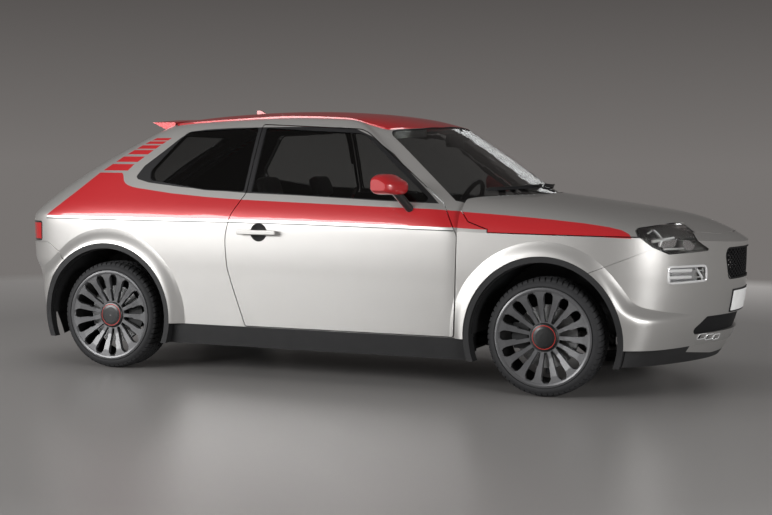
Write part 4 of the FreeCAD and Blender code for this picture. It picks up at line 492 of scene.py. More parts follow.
def housing_finish(name):
    """Chrome reflectors in a dark bowl, which turns plain grey towards the grille."""
    material, tree, bsdf = shader(name)
    _, y, z = axes_of(tree)
    out = size_of(tree, y)
    pods = []
    for place_y, place_z in LAMP_PODS:
        far = length_of(tree, maths(tree, "SUBTRACT", out, place_y), maths(tree, "SUBTRACT", z, place_z))
        pods.append(below(tree, far, LAMP_POD_RADIUS))
    pod = either(tree, *pods)
    grey = both(tree, below(tree, out, LAMP_GREY_EDGE, 0.01), below(tree, pod, 0.5, 0.1))
    colour = mottle(tree, BOWL_BLOTCH, BLACK, shade(BLACK, 1.6))
    colour = blend(tree, grey, colour, BOWL_GREY)
    feed(tree, bsdf, Base_Color=blend(tree, pod, colour, REFLECTOR), Metallic=pod,
         Roughness=ramp(tree, pod, 0.38, 0.12))
    return material


def red_lens(name):
    """Clear red plastic with a dark rim, moulded with fine upright and level ribs."""
    material, tree, bsdf = shader(name)
    x, y, z = axes_of(tree)
    level = maths(tree, "SINE", maths(tree, "MULTIPLY", z, LENS_RIBS_LEVEL))
    upright_ribs = maths(tree, "SINE", maths(tree, "MULTIPLY", maths(tree, "ADD", x, y), LENS_RIBS_UPRIGHT))
    low, high, front = TAIL_LAMP_RIM
    rim = either(tree, below(tree, z, low), above(tree, z, high), above(tree, x, front))
    colour = mottle(tree, LENS_WANDER, LENS_RED, LENS_BRIGHT)
    feed(tree, bsdf, Base_Color=blend(tree, rim, colour, SATIN_BLACK),
         Normal=bump(tree, maths(tree, "MAXIMUM", level, upright_ribs), 0.35, 0.0006))
    set_inputs(bsdf, Roughness=0.12, Coat_Weight=0.8, Coat_Roughness=0.03)
    return material


def woven(name, colour):
    """Cloth with crossing threads, painted lighter on the raised threads and darker between them as painted
    light and shade.
    """
    material, tree, bsdf = shader(name)
    x, y, z = axes_of(tree)
    across = maths(tree, "SINE", maths(tree, "MULTIPLY", y, THREADS))
    along = maths(tree, "SINE", maths(tree, "MULTIPLY", maths(tree, "ADD", x, z), THREADS))
    thread = maths(tree, "MULTIPLY", across, along)
    raised = ramp(tree, thread, 0.0, 1.0, -1.0, 1.0)
    # Lighter and darker copies of the cloth colour by thread height: painted light on the raised threads,
    # painted shade between them.
    thread_light_and_shade = blend(tree, raised, shade(colour, 0.7), shade(colour, 1.4))
    feed(tree, bsdf, Base_Color=mottle(tree, CLOTH_WANDER, thread_light_and_shade, colour, 3.0),
         Normal=bump(tree, thread, 0.5, 0.0004))
    set_inputs(bsdf, Roughness=0.9, Sheen_Weight=0.3, Sheen_Roughness=0.5)
    return material


def glass(name, colour):
    material, tree, bsdf = shader(name)
    feed(tree, bsdf, Base_Color=mottle(tree, GLASS_WANDER, colour, shade(colour, 1.08)))
    set_inputs(bsdf, Transmission_Weight=1.0, IOR=1.45, Roughness=0.0)
    return material


FINISHES = {name: maker(name, *values) for name, maker, *values in (
    ("silver_paint", body_paint, BAND_FOOT),
    ("red_paint", paint, RED, 0.15, 0.34),
    ("underbody_paint", moulded, SATIN_BLACK, 0.7, 400.0, 0.0006),
    ("black_trim", moulded, SATIN_BLACK, 0.50, 1500.0, 0.0002),
    ("tinted_glass", glass, GLASS_TINT),
    ("clear_lens", glass, LENS_CLEAR),
    # Partly metallic chrome: part of its brightness is painted reflection.
    ("lamp_chrome", metal, LAMP_CHROME, 0.20, 0.6),
    ("red_lens", red_lens),
    ("grille_mesh", moulded, shade(BLACK, 0.6), 0.60, 900.0, 0.0001),
    ("wheel_paint", wheel_finish),
    ("tyre_rubber", moulded, RUBBER, 0.72, 700.0, 0.0003),
    ("brake_iron", turned_metal, DISC_GREY, 0.40),
    ("axle_iron", moulded, SATIN_BLACK, 0.55, 300.0, 0.0004),
    ("engine_alloy", metal, ALLOY, 0.5),
    ("seat_fabric", woven, CLOTH),
    ("cabin_plastic", moulded, CABIN_BLACK, 0.6, 1200.0, 0.0003),
    ("rim_leather", moulded, LEATHER, 0.5, 600.0, 0.0004),
)}
BONNET_PAINT = body_paint("silver_paint_bonnet", BONNET_FOOT)
CAP_RED = paint("cap_red", CAP_RED_COLOUR, 0.1, 0.35)
MIRROR_PAINT = mirror_finish("mirror_red")
SPLITTER_BLACK = splitter_finish("splitter_black")
SEAL_RUBBER = moulded("seal_rubber", BLACK, 0.55, 900.0, 0.0001)
PLATE_WHITE = moulded("plate_white", WHITE, 0.35, 500.0, 0.00005)
# Partly metallic chrome: part of its brightness is painted reflection.
CHROME = metal("trim_chrome", TRIM_CHROME, 0.22, 0.45)
MIRROR_GLASS = metal("mirror_glass", MIRROR_SILVER, 0.02)
HANDLE_SILVER = paint("handle_silver", SILVER, 0.6, 0.34)

# What a piece wears: its material, the body that it rides on, and its slot
BODY_CHROME = (CHROME, "chassis", "lamp_chrome")
BODY_BLACK = (FINISHES["black_trim"], "chassis", "black_trim")
BODY_RUBBER = (SEAL_RUBBER, "chassis", "black_trim")
BODY_PLASTIC = (FINISHES["cabin_plastic"], "chassis", "cabin_plastic")
BODY_MIRROR = (MIRROR_GLASS, "chassis", "lamp_chrome")


def finish_nodes():
    """Each carried-over node takes the finish of its slot in the record."""
    for part in frame["record"]["subparts"]:
        node = NODES[part["node"]]
        node.data.materials.clear()
        node.data.materials.append(FINISHES[part["material_slot"]])
        node.data.shade_smooth()
    NODES["bonnet_panel"].data.materials[0] = BONNET_PAINT
    NODES["front_splitter"].data.materials[0] = SPLITTER_BLACK
    for side, _ in SIDES:
        NODES["mirror_" + side].data.materials[0] = MIRROR_PAINT
        NODES["door_handle_" + side].data.materials[0] = HANDLE_SILVER
    NODES["headlamp_housings"].data.materials[0] = housing_finish("lamp_housing")


# Mesh helpers

BAR_ANGLE = 60.0


def in_scene(name, data):
    """A new object in the scene."""
    thing = bpy.data.objects.new(name, data)
    bpy.context.scene.collection.objects.link(thing)
    return thing


def piece(name, points, faces, wear, angle=30.0):
    """A mesh piece that rides on a body."""
    material, body, slot = wear
    mesh = bpy.data.meshes.new(name)
    mesh.from_pydata([tuple(p) for p in points], [], faces)
    mesh.update()
    mesh.materials.append(material)
    mesh.shade_smooth()
    mesh.set_sharp_from_angle(angle=math.radians(angle))
    thing = in_scene(name, mesh)
    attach(thing, body)
    return thing


def grid_faces(rows, columns, closed_rows=False, closed_columns=False):
    faces = []
    for i in range(rows if closed_rows else rows - 1):
        for j in range(columns if closed_columns else columns - 1):
            b, d = (i + 1) % rows, (j + 1) % columns
            faces.append((i * columns + j, b * columns + j, b * columns + d, i * columns + d))
    return faces


def tube(points, radius, sides=10, closed=False, flat=1.0, end_radius=None):
    """Points and faces of a round bar along a line; flat squeezes it upright."""
    verts = []
    count = len(points)
    for k, p in enumerate(points):
        before = points[k - 1] if k > 0 or closed else p
        after = points[(k + 1) % count] if k < count - 1 or closed else p
        way = (after - before).normalized()
        side = way.cross(Vector((0, 0, 1)))
        if side.length < 0.05:
            side = way.cross(Vector((0, 1, 0)))
        side.normalize()
        rise = side.cross(way)
        r = radius if end_radius is None else radius + (end_radius - radius) * k / (count - 1)
        for s in range(sides):
            a = 2 * math.pi * s / sides
            verts.append(p + side * (r * math.cos(a)) + rise * (r * flat * math.sin(a)))
    faces = grid_faces(count, sides, closed, True)
    if not closed:
        faces.append(tuple(range(sides))[::-1])
        faces.append(tuple(range((count - 1) * sides, count * sides)))
    return verts, faces


def spun(centre, radius, across, a):
    """A place at a radius and an angle about a line along Y through the centre."""
    return Vector((centre.x + radius * math.cos(a), centre.y + across, centre.z + radius * math.sin(a)))


def lathe(profile, centre, segments, outward):
    """Profile of (radius, offset) turned about a line along Y through the centre."""
    verts = [
        spun(centre, radius, outward * offset, 2 * math.pi * s / segments)
        for s in range(segments) for radius, offset in profile]
    return verts, grid_faces(segments, len(profile), True)


def prism_y(name, outline, y0, y1, wear):
    """An outline in X and Z carried straight across."""
    count = len(outline)
    verts = [(x, y, z) for y in (y0, y1) for x, z in outline]
    faces = [(k, (k + 1) % count, count + (k + 1) % count, count + k) for k in range(count)]
    faces += [tuple(reversed(range(count))), tuple(range(count, 2 * count))]
    return piece(name, verts, faces, wear)


def surface(*names):
    """A tree of the nodes' faces, for finding places on them."""
    points, faces = [], []
    for name in names:
        mesh = NODES[name].data
        base = len(points)
        points += [v.co.copy() for v in mesh.vertices]
        faces += [tuple(base + i for i in p.vertices) for p in mesh.polygons]
    return BVHTree.FromPolygons(points, faces)


def place_on(tree, start, way):
    """Where a line from a point first meets the surface, or None."""
    return tree.ray_cast(Vector(start), Vector(way).normalized())[0]


# Wheels

WHEELS = ["front_left", "front_right", "rear_left", "rear_right"]
TREAD_PITCHES = 60
GROOVE_DEPTH = 0.0065
TREAD_PITCH_SHARES = [(0.00, False), (0.76, False), (0.80, True), (0.96, True)]
TREAD_SKEW = 0.035
SKEW_WAVES = 20.0
# Offset from the middle, drop from the tread's radius, in a round groove, cut by the sipes
TREAD_LINES = [
    (0.0, 0.0, False, False), (0.0075, 0.0, False, False), (0.0085, 0.0, True, False),
    (0.0165, 0.0, True, False), (0.0175, 0.0, False, True), (0.0300, 0.0003, False, True),
    (0.0425, 0.0007, False, True), (0.0435, 0.0007, True, False), (0.0510, 0.0010, True, False),
    (0.0520, 0.0010, False, True), (0.0640, 0.0022, False, True), (0.0760, 0.0050, False, True),
    (0.0840, 0.0085, False, True), (0.0890, 0.0130, False, True), (0.0905, 0.0175, False, True)]
# Radius and inset from the tyre's widest place
WALL_LINES = [
    (0.2810, 0.0100), (0.2760, 0.0062), (0.2745, 0.0048), (0.2670, 0.0014), (0.2600, 0.0004),
    (0.2565, 0.0008), (0.2550, 0.0030), (0.2535, 0.0055), (0.2512, 0.0065), (0.2400, 0.0070),
    (0.2365, 0.0085)]
RING_MIDDLE = 0.059
# Radius and rise above the cap's groove
RING_PROFILE = [
    (0.0608, 0.0), (0.0608, 0.0016), (0.0600, 0.0023), (0.0580, 0.0023), (0.0572, 0.0016), (0.0572, 0.0)]
RING_SEGMENTS = 96


def tyre_lines(half, tread_radius):
    """Lines along the tyre: radius, offset, whether it lies in a round groove, and whether sipes cut it."""
    lines = [(tread_radius - drop, offset, groove, cut) for offset, drop, groove, cut in TREAD_LINES]
    lines += [(radius, half - inset, False, False) for radius, inset in WALL_LINES]
    other = [(r, -o, g, c) for r, o, g, c in lines[:0:-1]]
    return other + lines


def tyre(wheel):
    """Tyre with a sidewall, round grooves, and slanted cuts between its tread blocks."""
    node = "tyre_" + wheel
    low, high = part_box(node)
    centre = (Vector(low) + Vector(high)) / 2
    lines = tyre_lines((high[1] - low[1]) / 2, (high[2] - low[2]) / 2)
    verts = []
    for pitch in range(TREAD_PITCHES):
        for share, sipe in TREAD_PITCH_SHARES:
            for radius, offset, groove, cut in lines:
                r = radius - (GROOVE_DEPTH if groove or (sipe and cut) else 0.0)
                skew = TREAD_SKEW * math.cos(offset * SKEW_WAVES)
                a = 2 * math.pi * (pitch + share) / TREAD_PITCHES + skew
                verts.append(spun(centre, r, offset, a))
    faces = grid_faces(TREAD_PITCHES * len(TREAD_PITCH_SHARES), len(lines), True)
    wear = (FINISHES["tyre_rubber"], "wheel_" + wheel, "tyre_rubber")
    thing = piece("tread_" + wheel, verts, faces, wear, 35.0)
    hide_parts(node)


def cap_ring(wheel):
    """Thin red ring in the groove of the wheel's cap."""
    node = "rim_" + wheel
    low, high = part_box(node)
    centre = (Vector(low) + Vector(high)) / 2
    outward = 1 if wheel.endswith("left") else -1
    start = Vector((centre.x + RING_MIDDLE, centre.y + outward * 0.4, centre.z))
    offset = abs(place_on(surface(node), start, (0, -outward, 0)).y - centre.y)
    profile = [(radius, offset + rise) for radius, rise in RING_PROFILE]
    verts, faces = lathe(profile, centre, RING_SEGMENTS, outward)
    piece("cap_ring_" + wheel, verts, faces, (CAP_RED, "wheel_" + wheel, "red_paint"))


# Glass seals and wipers

CABIN_MIDDLE = Vector((0.0, 0.0, 0.75))
WELD = 0.0002
PANE_THICKEST = 0.02
SHORTEST_LOOP = 8
SEAL_STEP = 0.012
SEALS = [
    ("door_glass_left", "door_left", 0.0042), ("door_glass_right", "door_right", 0.0042),
    ("quarter_windows", "chassis", 0.0042), ("windscreen", "chassis", 0.0050),
    ("rear_screen", "tailgate", 0.0050)]
# Places (y, z) on the screen: the arm's foot and tip, the blade's two ends
WIPERS = [
    ("wiper_near", (0.02, 1.004), (-0.28, 1.034), (-0.56, 1.024), (-0.02, 1.040)),
    ("wiper_far", (0.60, 1.000), (0.31, 1.032), (0.03, 1.040), (0.57, 1.022))]
WIPER_STEPS = 12
ARM_STEPS = 8
BLADE_RADIUS = 0.0045
HOLDER_RADIUS = 0.0055
ARM_RADII = (0.0095, 0.0050)
BLADE_LIFT = 0.007
FOOT_LIFT = 0.012
TIP_LIFT = 0.020
ARM_BOW = 0.010
HOLDER_SHORTER = 0.05


def outer_loops(node):
    """Closed lines round the outer face of a glass pane."""
    tree = surface(node)
    faces = bmesh.new()
    faces.from_mesh(NODES[node].data)
    bmesh.ops.remove_doubles(faces, verts=faces.verts[:], dist=WELD)
    others = []
    for face in faces.faces:
        centre = face.calc_center_median()
        found, _, _, far = tree.ray_cast(centre - face.normal * 0.0005, -face.normal)
        if found is None or far > PANE_THICKEST or face.normal.dot(centre - CABIN_MIDDLE) < 0:
            others.append(face)
    bmesh.ops.delete(faces, geom=others, context="FACES")
    links = {}
    for edge in faces.edges:
        if len(edge.link_faces) == 1:
            a, b = edge.verts
            links.setdefault(a, []).append(b)
            links.setdefault(b, []).append(a)
    loops = []
    seen = set()
    for start in links:
        loop, onward = [], [] if start in seen else [start]
        while onward:
            loop.append(onward[0])
            seen.add(onward[0])
            onward = [v for v in links[onward[0]] if v not in seen]
        if len(loop) > SHORTEST_LOOP:
            loops.append([v.co.copy() for v in loop])
    faces.free()
    return loops


def evened(points, step):
    """Points at even steps round a closed line."""
    lengths = [(points[(k + 1) % len(points)] - p).length for k, p in enumerate(points)]
    total = sum(lengths)
    count = max(12, int(total / step))
    out = []
    k, gone = 0, 0.0
    for n in range(count):
        target = total * n / count
        while gone + lengths[k] < target:
            gone += lengths[k]
            k += 1
        share = (target - gone) / max(lengths[k], 1e-9)
        out.append(points[k].lerp(points[(k + 1) % len(points)], share))
    return out


def seal(node, body, radius):
    """Rubber strip round a pane."""
    for k, loop in enumerate(outer_loops(node)):
        verts, faces = tube(evened(loop, SEAL_STEP), radius, 8, True)
        piece("seal_%s_%d" % (node, k), verts, faces, (SEAL_RUBBER, body, "black_trim"), BAR_ANGLE)


def wiper(name, tree, foot, tip, blade_start, blade_end):
    """Arm from its pivot to the blade, and the blade along the glass."""
    def on_glass(y, z, lift):
        found, normal, _, _ = tree.ray_cast(Vector((2.5, y, z)), Vector((-1, 0, 0)))
        return found + normal * lift
    blade = [
        on_glass(
            blade_start[0] + (blade_end[0] - blade_start[0]) * k / WIPER_STEPS,
            blade_start[1] + (blade_end[1] - blade_start[1]) * k / WIPER_STEPS, BLADE_LIFT)
        for k in range(WIPER_STEPS + 1)]
    piece(name + "_blade", *tube(blade, BLADE_RADIUS, 8, False, 1.6), BODY_RUBBER)
    middle = blade[WIPER_STEPS // 2]
    holder = [p + (p - middle) * -HOLDER_SHORTER + Vector((0.004, 0, 0.008)) for p in blade]
    piece(name + "_holder", *tube(holder, HOLDER_RADIUS, 8, False, 0.6), BODY_BLACK)
    root = on_glass(*foot, FOOT_LIFT)
    end = on_glass(*tip, TIP_LIFT)
    arm = [
        root.lerp(end, k / ARM_STEPS) + Vector((0, 0, ARM_BOW * math.sin(math.pi * k / ARM_STEPS)))
        for k in range(ARM_STEPS + 1)]
    piece(name + "_arm", *tube(arm, ARM_RADII[0], 8, False, 0.5, ARM_RADII[1]), BODY_BLACK)


def trims():
    for node, body, radius in SEALS:
        seal(node, body, radius)
    screen = surface("windscreen")
    for name, foot, tip, blade_start, blade_end in WIPERS:
        wiper(name, screen, foot, tip, blade_start, blade_end)


# Pieces that lie on a surface

FORWARDS = (1, 0, 0)
BACKWARDS = (-1, 0, 0)
OUTLINE_REACH = 3.0


def rounded(u, v, corner, ratio):
    """Place of a square's point once the square's corners are rounded; ratio is width over height."""
    reach = max(abs(u), abs(v))
    if reach < 1e-6:
        return u, v
    a, b = abs(u) / reach * ratio, abs(v) / reach
    da, db = a - (ratio - corner), b - (1.0 - corner)
    if da > 0 and db > 0:
        far = math.hypot(da, db)
        if far > corner:
            a = ratio - corner + da / far * corner
            b = 1.0 - corner + db / far * corner
    return math.copysign(a / ratio * reach, u), math.copysign(b * reach, v)


def patch(name, tree, start, way, half, corner, thick, wear, columns=24, rows=12):
    """Rounded plate, upright across the car, that lies on a surface; half is its half width and height."""
    start, way = Vector(start), Vector(way).normalized()
    ratio = half[0] / half[1]
    front, back = [], []
    for i in range(columns + 1):
        for j in range(rows + 1):
            u, v = rounded(i / columns * 2 - 1, j / rows * 2 - 1, corner, ratio)
            source = start + Vector((0, half[0], 0)) * u + Vector((0, 0, half[1])) * v
            found = place_on(tree, source, way)
            if found is None:
                found = source + way * 0.5
            back.append(found + way * 0.002)
            front.append(found - way * thick)
    faces = grid_faces(columns + 1, rows + 1)
    count = len(front)
    faces += [tuple(count + i for i in reversed(face)) for face in faces]
    ring = [i * (rows + 1) for i in range(columns + 1)]
    ring += [columns * (rows + 1) + j for j in range(1, rows + 1)]
    ring += [i * (rows + 1) + rows for i in range(columns - 1, -1, -1)]
    ring += list(range(rows - 1, 0, -1))
    for a, b in zip(ring, ring[1:] + ring[:1]):
        faces.append((a, b, count + b, count + a))
    piece(name, front + back, faces, wear)


def outline_on(tree, points, lift):
    """Points of a line laid on the nose's surface, as seen from the front."""
    out = []
    way = Vector(BACKWARDS)
    for p in points:
        found = place_on(tree, Vector(p) - way * OUTLINE_REACH, way)
        if found is not None:
            out.append(found - way * lift)
    return out


def rounded_corners(points, radius, steps=5):
    """A closed line through the points with its corners rounded."""
    out = []
    count = len(points)
    for k, p in enumerate(points):
        before = points[k - 1] - p
        after = points[(k + 1) % count] - p
        cut = min(radius, before.length * 0.45, after.length * 0.45)
        a, b = p + before.normalized() * cut, p + after.normalized() * cut
        for n in range(steps + 1):
            t = n / steps
            out.append(a.lerp(p, t).lerp(p.lerp(b, t), t))
    return out


def ring_on(name, tree, corners, radius, bar, lift, wear, flat=1.0):
    """Closed bar laid round an outline on the nose."""
    line = evened(rounded_corners([Vector(c) for c in corners], radius), 0.008)
    verts, faces = tube(outline_on(tree, line, lift), bar, 10, True, flat)
    piece(name, verts, faces, wear, BAR_ANGLE)


def bar_on(name, tree, points, bar, lift, wear, count=10):
    """Open bar laid on or behind the nose's surface through a few places."""
    line = []
    for k in range(count + 1):
        t = k / count * (len(points) - 1)
        n = min(int(t), len(points) - 2)
        line.append(Vector(points[n]).lerp(Vector(points[n + 1]), t - n))
    verts, faces = tube(outline_on(tree, line, lift), bar)
    piece(name, verts, faces, wear, BAR_ANGLE)


# Lamp trim as places (y, z) seen from the front, on the left side; the right side mirrors it
HEADLAMP_BARS = [
    ("cross_level", [(0.735, 0.790), (0.700, 0.797), (0.640, 0.804)], 0.0085, -0.016),
    ("cross_upright", [(0.655, 0.838), (0.700, 0.800), (0.708, 0.765)], 0.0080, -0.020),
    ("foot_bar", [(0.700, 0.752), (0.660, 0.753), (0.610, 0.753)], 0.0060, -0.012),
    ("brow_bar", [(0.712, 0.826), (0.670, 0.838)], 0.0050, -0.014)]
FOG_FRAME = [(0.690, 0.664), (0.489, 0.666), (0.480, 0.590), (0.686, 0.583)]
FOG_BAR_HEIGHTS = (0.645, 0.612)
FOG_BAR_ENDS = (0.682, 0.575)
FOG_FACET = [(0.545, 0.652), (0.500, 0.604)]
FOG_LIFT = -0.004
SLOT_MIDDLES = [(0.2526, 0.2856), (0.3284, 0.2914), (0.4042, 0.3001)]
SLOT_HALF = (0.0325, 0.0135)
# Corner radius, bar radius and lift of each closed frame
FOG_RING = (0.014, 0.0072, 0.0015)
SLOT_RING = (0.006, 0.0026, 0.0008)
GRILLE_RING = (0.044, 0.0060, -0.0058)
GRILLE_CORNERS = [(0, -0.334, 0.750), (0, 0.334, 0.750), (0, 0.279, 0.582), (0, -0.279, 0.582)]


def lamps():
    """Chrome forms behind the headlamp lenses, fog lamp frames, frames of the small slots and the grille."""
    lens = surface("headlamp_lenses")
    nose = surface("front_bumper", "headlamp_lenses")
    bumper = surface("front_bumper")
    for side, s in SIDES:
        def placed(points):
            return [(0.0, y * s, z) for y, z in points]
        for name, line, bar, lift in HEADLAMP_BARS:
            bar_on("headlamp_%s_%s" % (name, side), lens, placed(line), bar, lift, BODY_CHROME)
        ring_on("fog_frame_" + side, nose, placed(FOG_FRAME), *FOG_RING, BODY_CHROME, 0.9)
        for k, z in enumerate(FOG_BAR_HEIGHTS):
            line = placed([(y, z) for y in FOG_BAR_ENDS])
            bar_on("fog_bar_%d_%s" % (k, side), nose, line, 0.0095, FOG_LIFT, BODY_CHROME)
        bar_on("fog_facet_%s" % side, nose, placed(FOG_FACET), 0.0075, FOG_LIFT, BODY_CHROME)
        w, h = SLOT_HALF
        for k, (y, z) in enumerate(SLOT_MIDDLES):
            corners = placed([(y - w, z - h), (y + w, z - h), (y + w, z + h), (y - w, z + h)])
            ring_on("slot_frame_%d_%s" % (k, side), bumper, corners, *SLOT_RING, BODY_CHROME)
    silver = (HANDLE_SILVER, "chassis", "silver_paint")
    ring_on("grille_frame", bumper, GRILLE_CORNERS, *GRILLE_RING, silver)


# Name's start, half size, corner, thickness and what it wears
PLATE_LAYERS = [
    ("plate_holder_", (0.213, 0.060), 0.12, 0.0045, BODY_RUBBER),
    ("plate_", (0.205, 0.052), 0.10, 0.0058, (PLATE_WHITE, "chassis", "black_trim"))]
PLATE_HEIGHTS = (0.470, 0.560)


def plates():
    """Blank number plates with dark frames, bent a little to lie on the nose and the tail."""
    for end, way, z in zip(("front", "rear"), (-1, 1), PLATE_HEIGHTS):
        tree = surface(end + "_bumper")
        for name, half, corner, thick, wear in PLATE_LAYERS:
            patch(name + end, tree, (way * -3.0, 0, z), (way, 0, 0), half, corner, thick, wear, 36, 8)


CABIN_MIRROR = (0.400, 1.290)
MIRROR_GLASS_TOP = 0.060
MIRROR_GLASS_OUT = 0.095


def mirrors():
    """Glass in the back of each door mirror, and the mirror inside the windscreen."""
    for side, s in SIDES:
        node = "mirror_" + side
        low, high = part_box(node)
        z = high[2] - MIRROR_GLASS_TOP
        y = s * (max(abs(low[1]), abs(high[1])) - MIRROR_GLASS_OUT)
        wear = (MIRROR_GLASS, "door_" + side, "lamp_chrome")
        start = (low[0] - 0.3, y, z)
        patch("mirror_glass_" + side, surface(node), start, FORWARDS, (0.072, 0.040), 0.7, 0.0015, wear, 20)
    x, z = CABIN_MIRROR
    sheet = BVHTree.FromPolygons(
        [Vector((x, a, b)) for a, b in ((-1, 0), (1, 0), (1, 2), (-1, 2))], [(0, 1, 2, 3)])
    patch("cabin_mirror_shell", sheet, (x + 1, 0, z), BACKWARDS, (0.125, 0.036), 0.8, 0.022, BODY_PLASTIC)
    patch("cabin_mirror_glass", sheet, (x - 1, 0, z), FORWARDS, (0.119, 0.031), 0.75, 0.003, BODY_MIRROR)
    top = place_on(surface("windscreen"), (x, 0, z + 0.045), (1, 0, 0.15))
    stalk = [Vector((x + 0.010, 0, z + 0.020)), Vector((x + 0.025, 0, z + 0.045)), top]
    piece("cabin_mirror_stalk", *tube(stalk, 0.009, 12, False, 1.0, 0.016), BODY_PLASTIC, BAR_ANGLE)


# Seats: sizes are half sizes, and channels are places across the middle panel

PAD_SHRINK = 0.010
PAD_CAP = 0.014
PAD_VOXEL = 0.011
PAD_POWER = 6.0
CLOTH_QUALITY = 4
CLOTH_PRESSURE = 4.0
CLOTH_STEPS = 15
SEAM_DEPTH = 0.007
SEAM_WIDTH = 0.007
BOLSTER_SLOPE = 0.05
SEAT_Y = 0.350
SEAT_CORNER = (-0.320, 0.440)
SEAT_HALF_WIDTH = 0.250
SEAT_PANEL = 0.150
SEAT_SEAM = 0.158
SEAT_RAKE = math.radians(-20.0)
CUSHION_CHANNELS = (-0.10, 0.0, 0.10)
BACK_CHANNELS = (-0.14, -0.05, 0.04, 0.13)
STEM_ACROSS = 0.06
STEM_HEIGHTS = (0.520, 0.560, 0.600)
RUNNER_ACROSS = 0.190
RUNNER_HALF = 0.018
RUNNER = [
    (-0.280, 0.2125), (-0.230, 0.2125), (-0.215, 0.235), (0.075, 0.235), (0.090, 0.2125), (0.140, 0.2125),
    (0.140, 0.262), (0.110, 0.302), (-0.250, 0.302), (-0.280, 0.262)]
BENCH_CORNER = (-0.790, 0.480)
BENCH_HALF = 0.480
BENCH_PANEL = 0.400
BENCH_SEAM = 0.408


def pad_shape(name, half, cuts, shaping):
    """Rounded block about its own middle, shaped by a function of its shares along each half size."""
    shape = bmesh.new()
    bmesh.ops.create_cube(shape, size=2.0)
    bmesh.ops.subdivide_edges(shape, edges=shape.edges[:], cuts=cuts, use_grid_fill=True)
    for v in shape.verts:
        share = v.co.copy()
        far = sum(abs(c) ** PAD_POWER for c in share) ** (1.0 / PAD_POWER)
        reach = max(abs(c) for c in share)
        share = share * (reach / far)
        v.co = shaping(share, Vector([share[k] * (half[k] - PAD_SHRINK) for k in range(3)]))
    mesh = bpy.data.meshes.new(name)
    shape.to_mesh(mesh)
    shape.free()
    return mesh


def settled(thing):
    """The thing's mesh as its modifiers leave it; the modifiers go."""
    graph = bpy.context.evaluated_depsgraph_get()
    mesh = bpy.data.meshes.new_from_object(thing.evaluated_get(graph))
    thing.modifiers.clear()
    return mesh


def swell(thing):
    """Cloth blown up a little over the shape, held near where it started; the result is kept."""
    remesh = thing.modifiers.new("remesh", "REMESH")
    remesh.mode = "VOXEL"
    remesh.voxel_size = PAD_VOXEL
    thing.data = settled(thing)
    start = [v.co.copy() for v in thing.data.vertices]
    settings = thing.modifiers.new("cloth", "CLOTH").settings
    settings.quality = CLOTH_QUALITY
    settings.use_pressure = True
    settings.uniform_pressure_force = CLOTH_PRESSURE
    settings.effector_weights.gravity = 0.0
    scene = bpy.context.scene
    for step in range(1, CLOTH_STEPS + 1):
        scene.frame_set(step)
    blown = settled(thing)
    for v, first in zip(blown.vertices, start):
        move = v.co - first
        if move.length > PAD_CAP:
            v.co = first + move.normalized() * PAD_CAP
    thing.data = blown
    scene.frame_set(1)


def pad(name, half, shaping, seams, turn, cuts=8, body="chassis"):
    """A padded piece: shaped, swollen, subdivided, then creased along its seams and set in place."""
    thing = in_scene(name, pad_shape(name, half, cuts, shaping))
    swell(thing)
    smooth = thing.modifiers.new("smooth", "SUBSURF")
    smooth.levels = smooth.render_levels = 1
    thing.data = mesh = settled(thing)
    normals = [v.normal.copy() for v in mesh.vertices]
    for v, normal in zip(mesh.vertices, normals):
        depth = 0.0
        for far in seams(v.co):
            depth = max(depth, SEAM_DEPTH * math.exp(-(far / SEAM_WIDTH) ** 2))
        v.co -= normal * depth
    mesh.transform(turn)
    mesh.update()
    mesh.materials.clear()
    mesh.materials.append(FINISHES["seat_fabric"])
    mesh.shade_smooth()
    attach(thing, body)
    return thing


def bolsters(rise, panel):
    """Shaping that raises both sides of a pad's face above its middle panel."""
    def shaping(share, place):
        if share.z > 0:
            t = min(1.0, max(0.0, (abs(place.y) - panel) / BOLSTER_SLOPE))
            place.z += rise * t * t * (3 - 2 * t) * share.z
        return place
    return shaping


def seat_seams(panel, channels):
    """Distances from a place to the seams beside the middle panel and across it."""
    def far(co):
        if co.z <= 0.0:
            return []
        out = [abs(abs(co.y) - panel)]
        if abs(co.y) < panel:
            out += [abs(co.x - c) for c in channels]
        return out
    return far


def moved(x, y, z):
    return Matrix.Translation(Vector((x, y, z)))


def upright(corner, y, height, thick):
    """Turn and move for a seat back: its own X runs up the back, its Z to the front."""
    turn = Matrix(((0, 0, 1, 0), (0, 1, 0, 0), (1, 0, 0, 0), (0, 0, 0, 1)))
    lean = Matrix.Rotation(SEAT_RAKE, 4, "Y")
    return moved(corner[0], 0, corner[1]) @ lean @ moved(-thick, y, height) @ turn


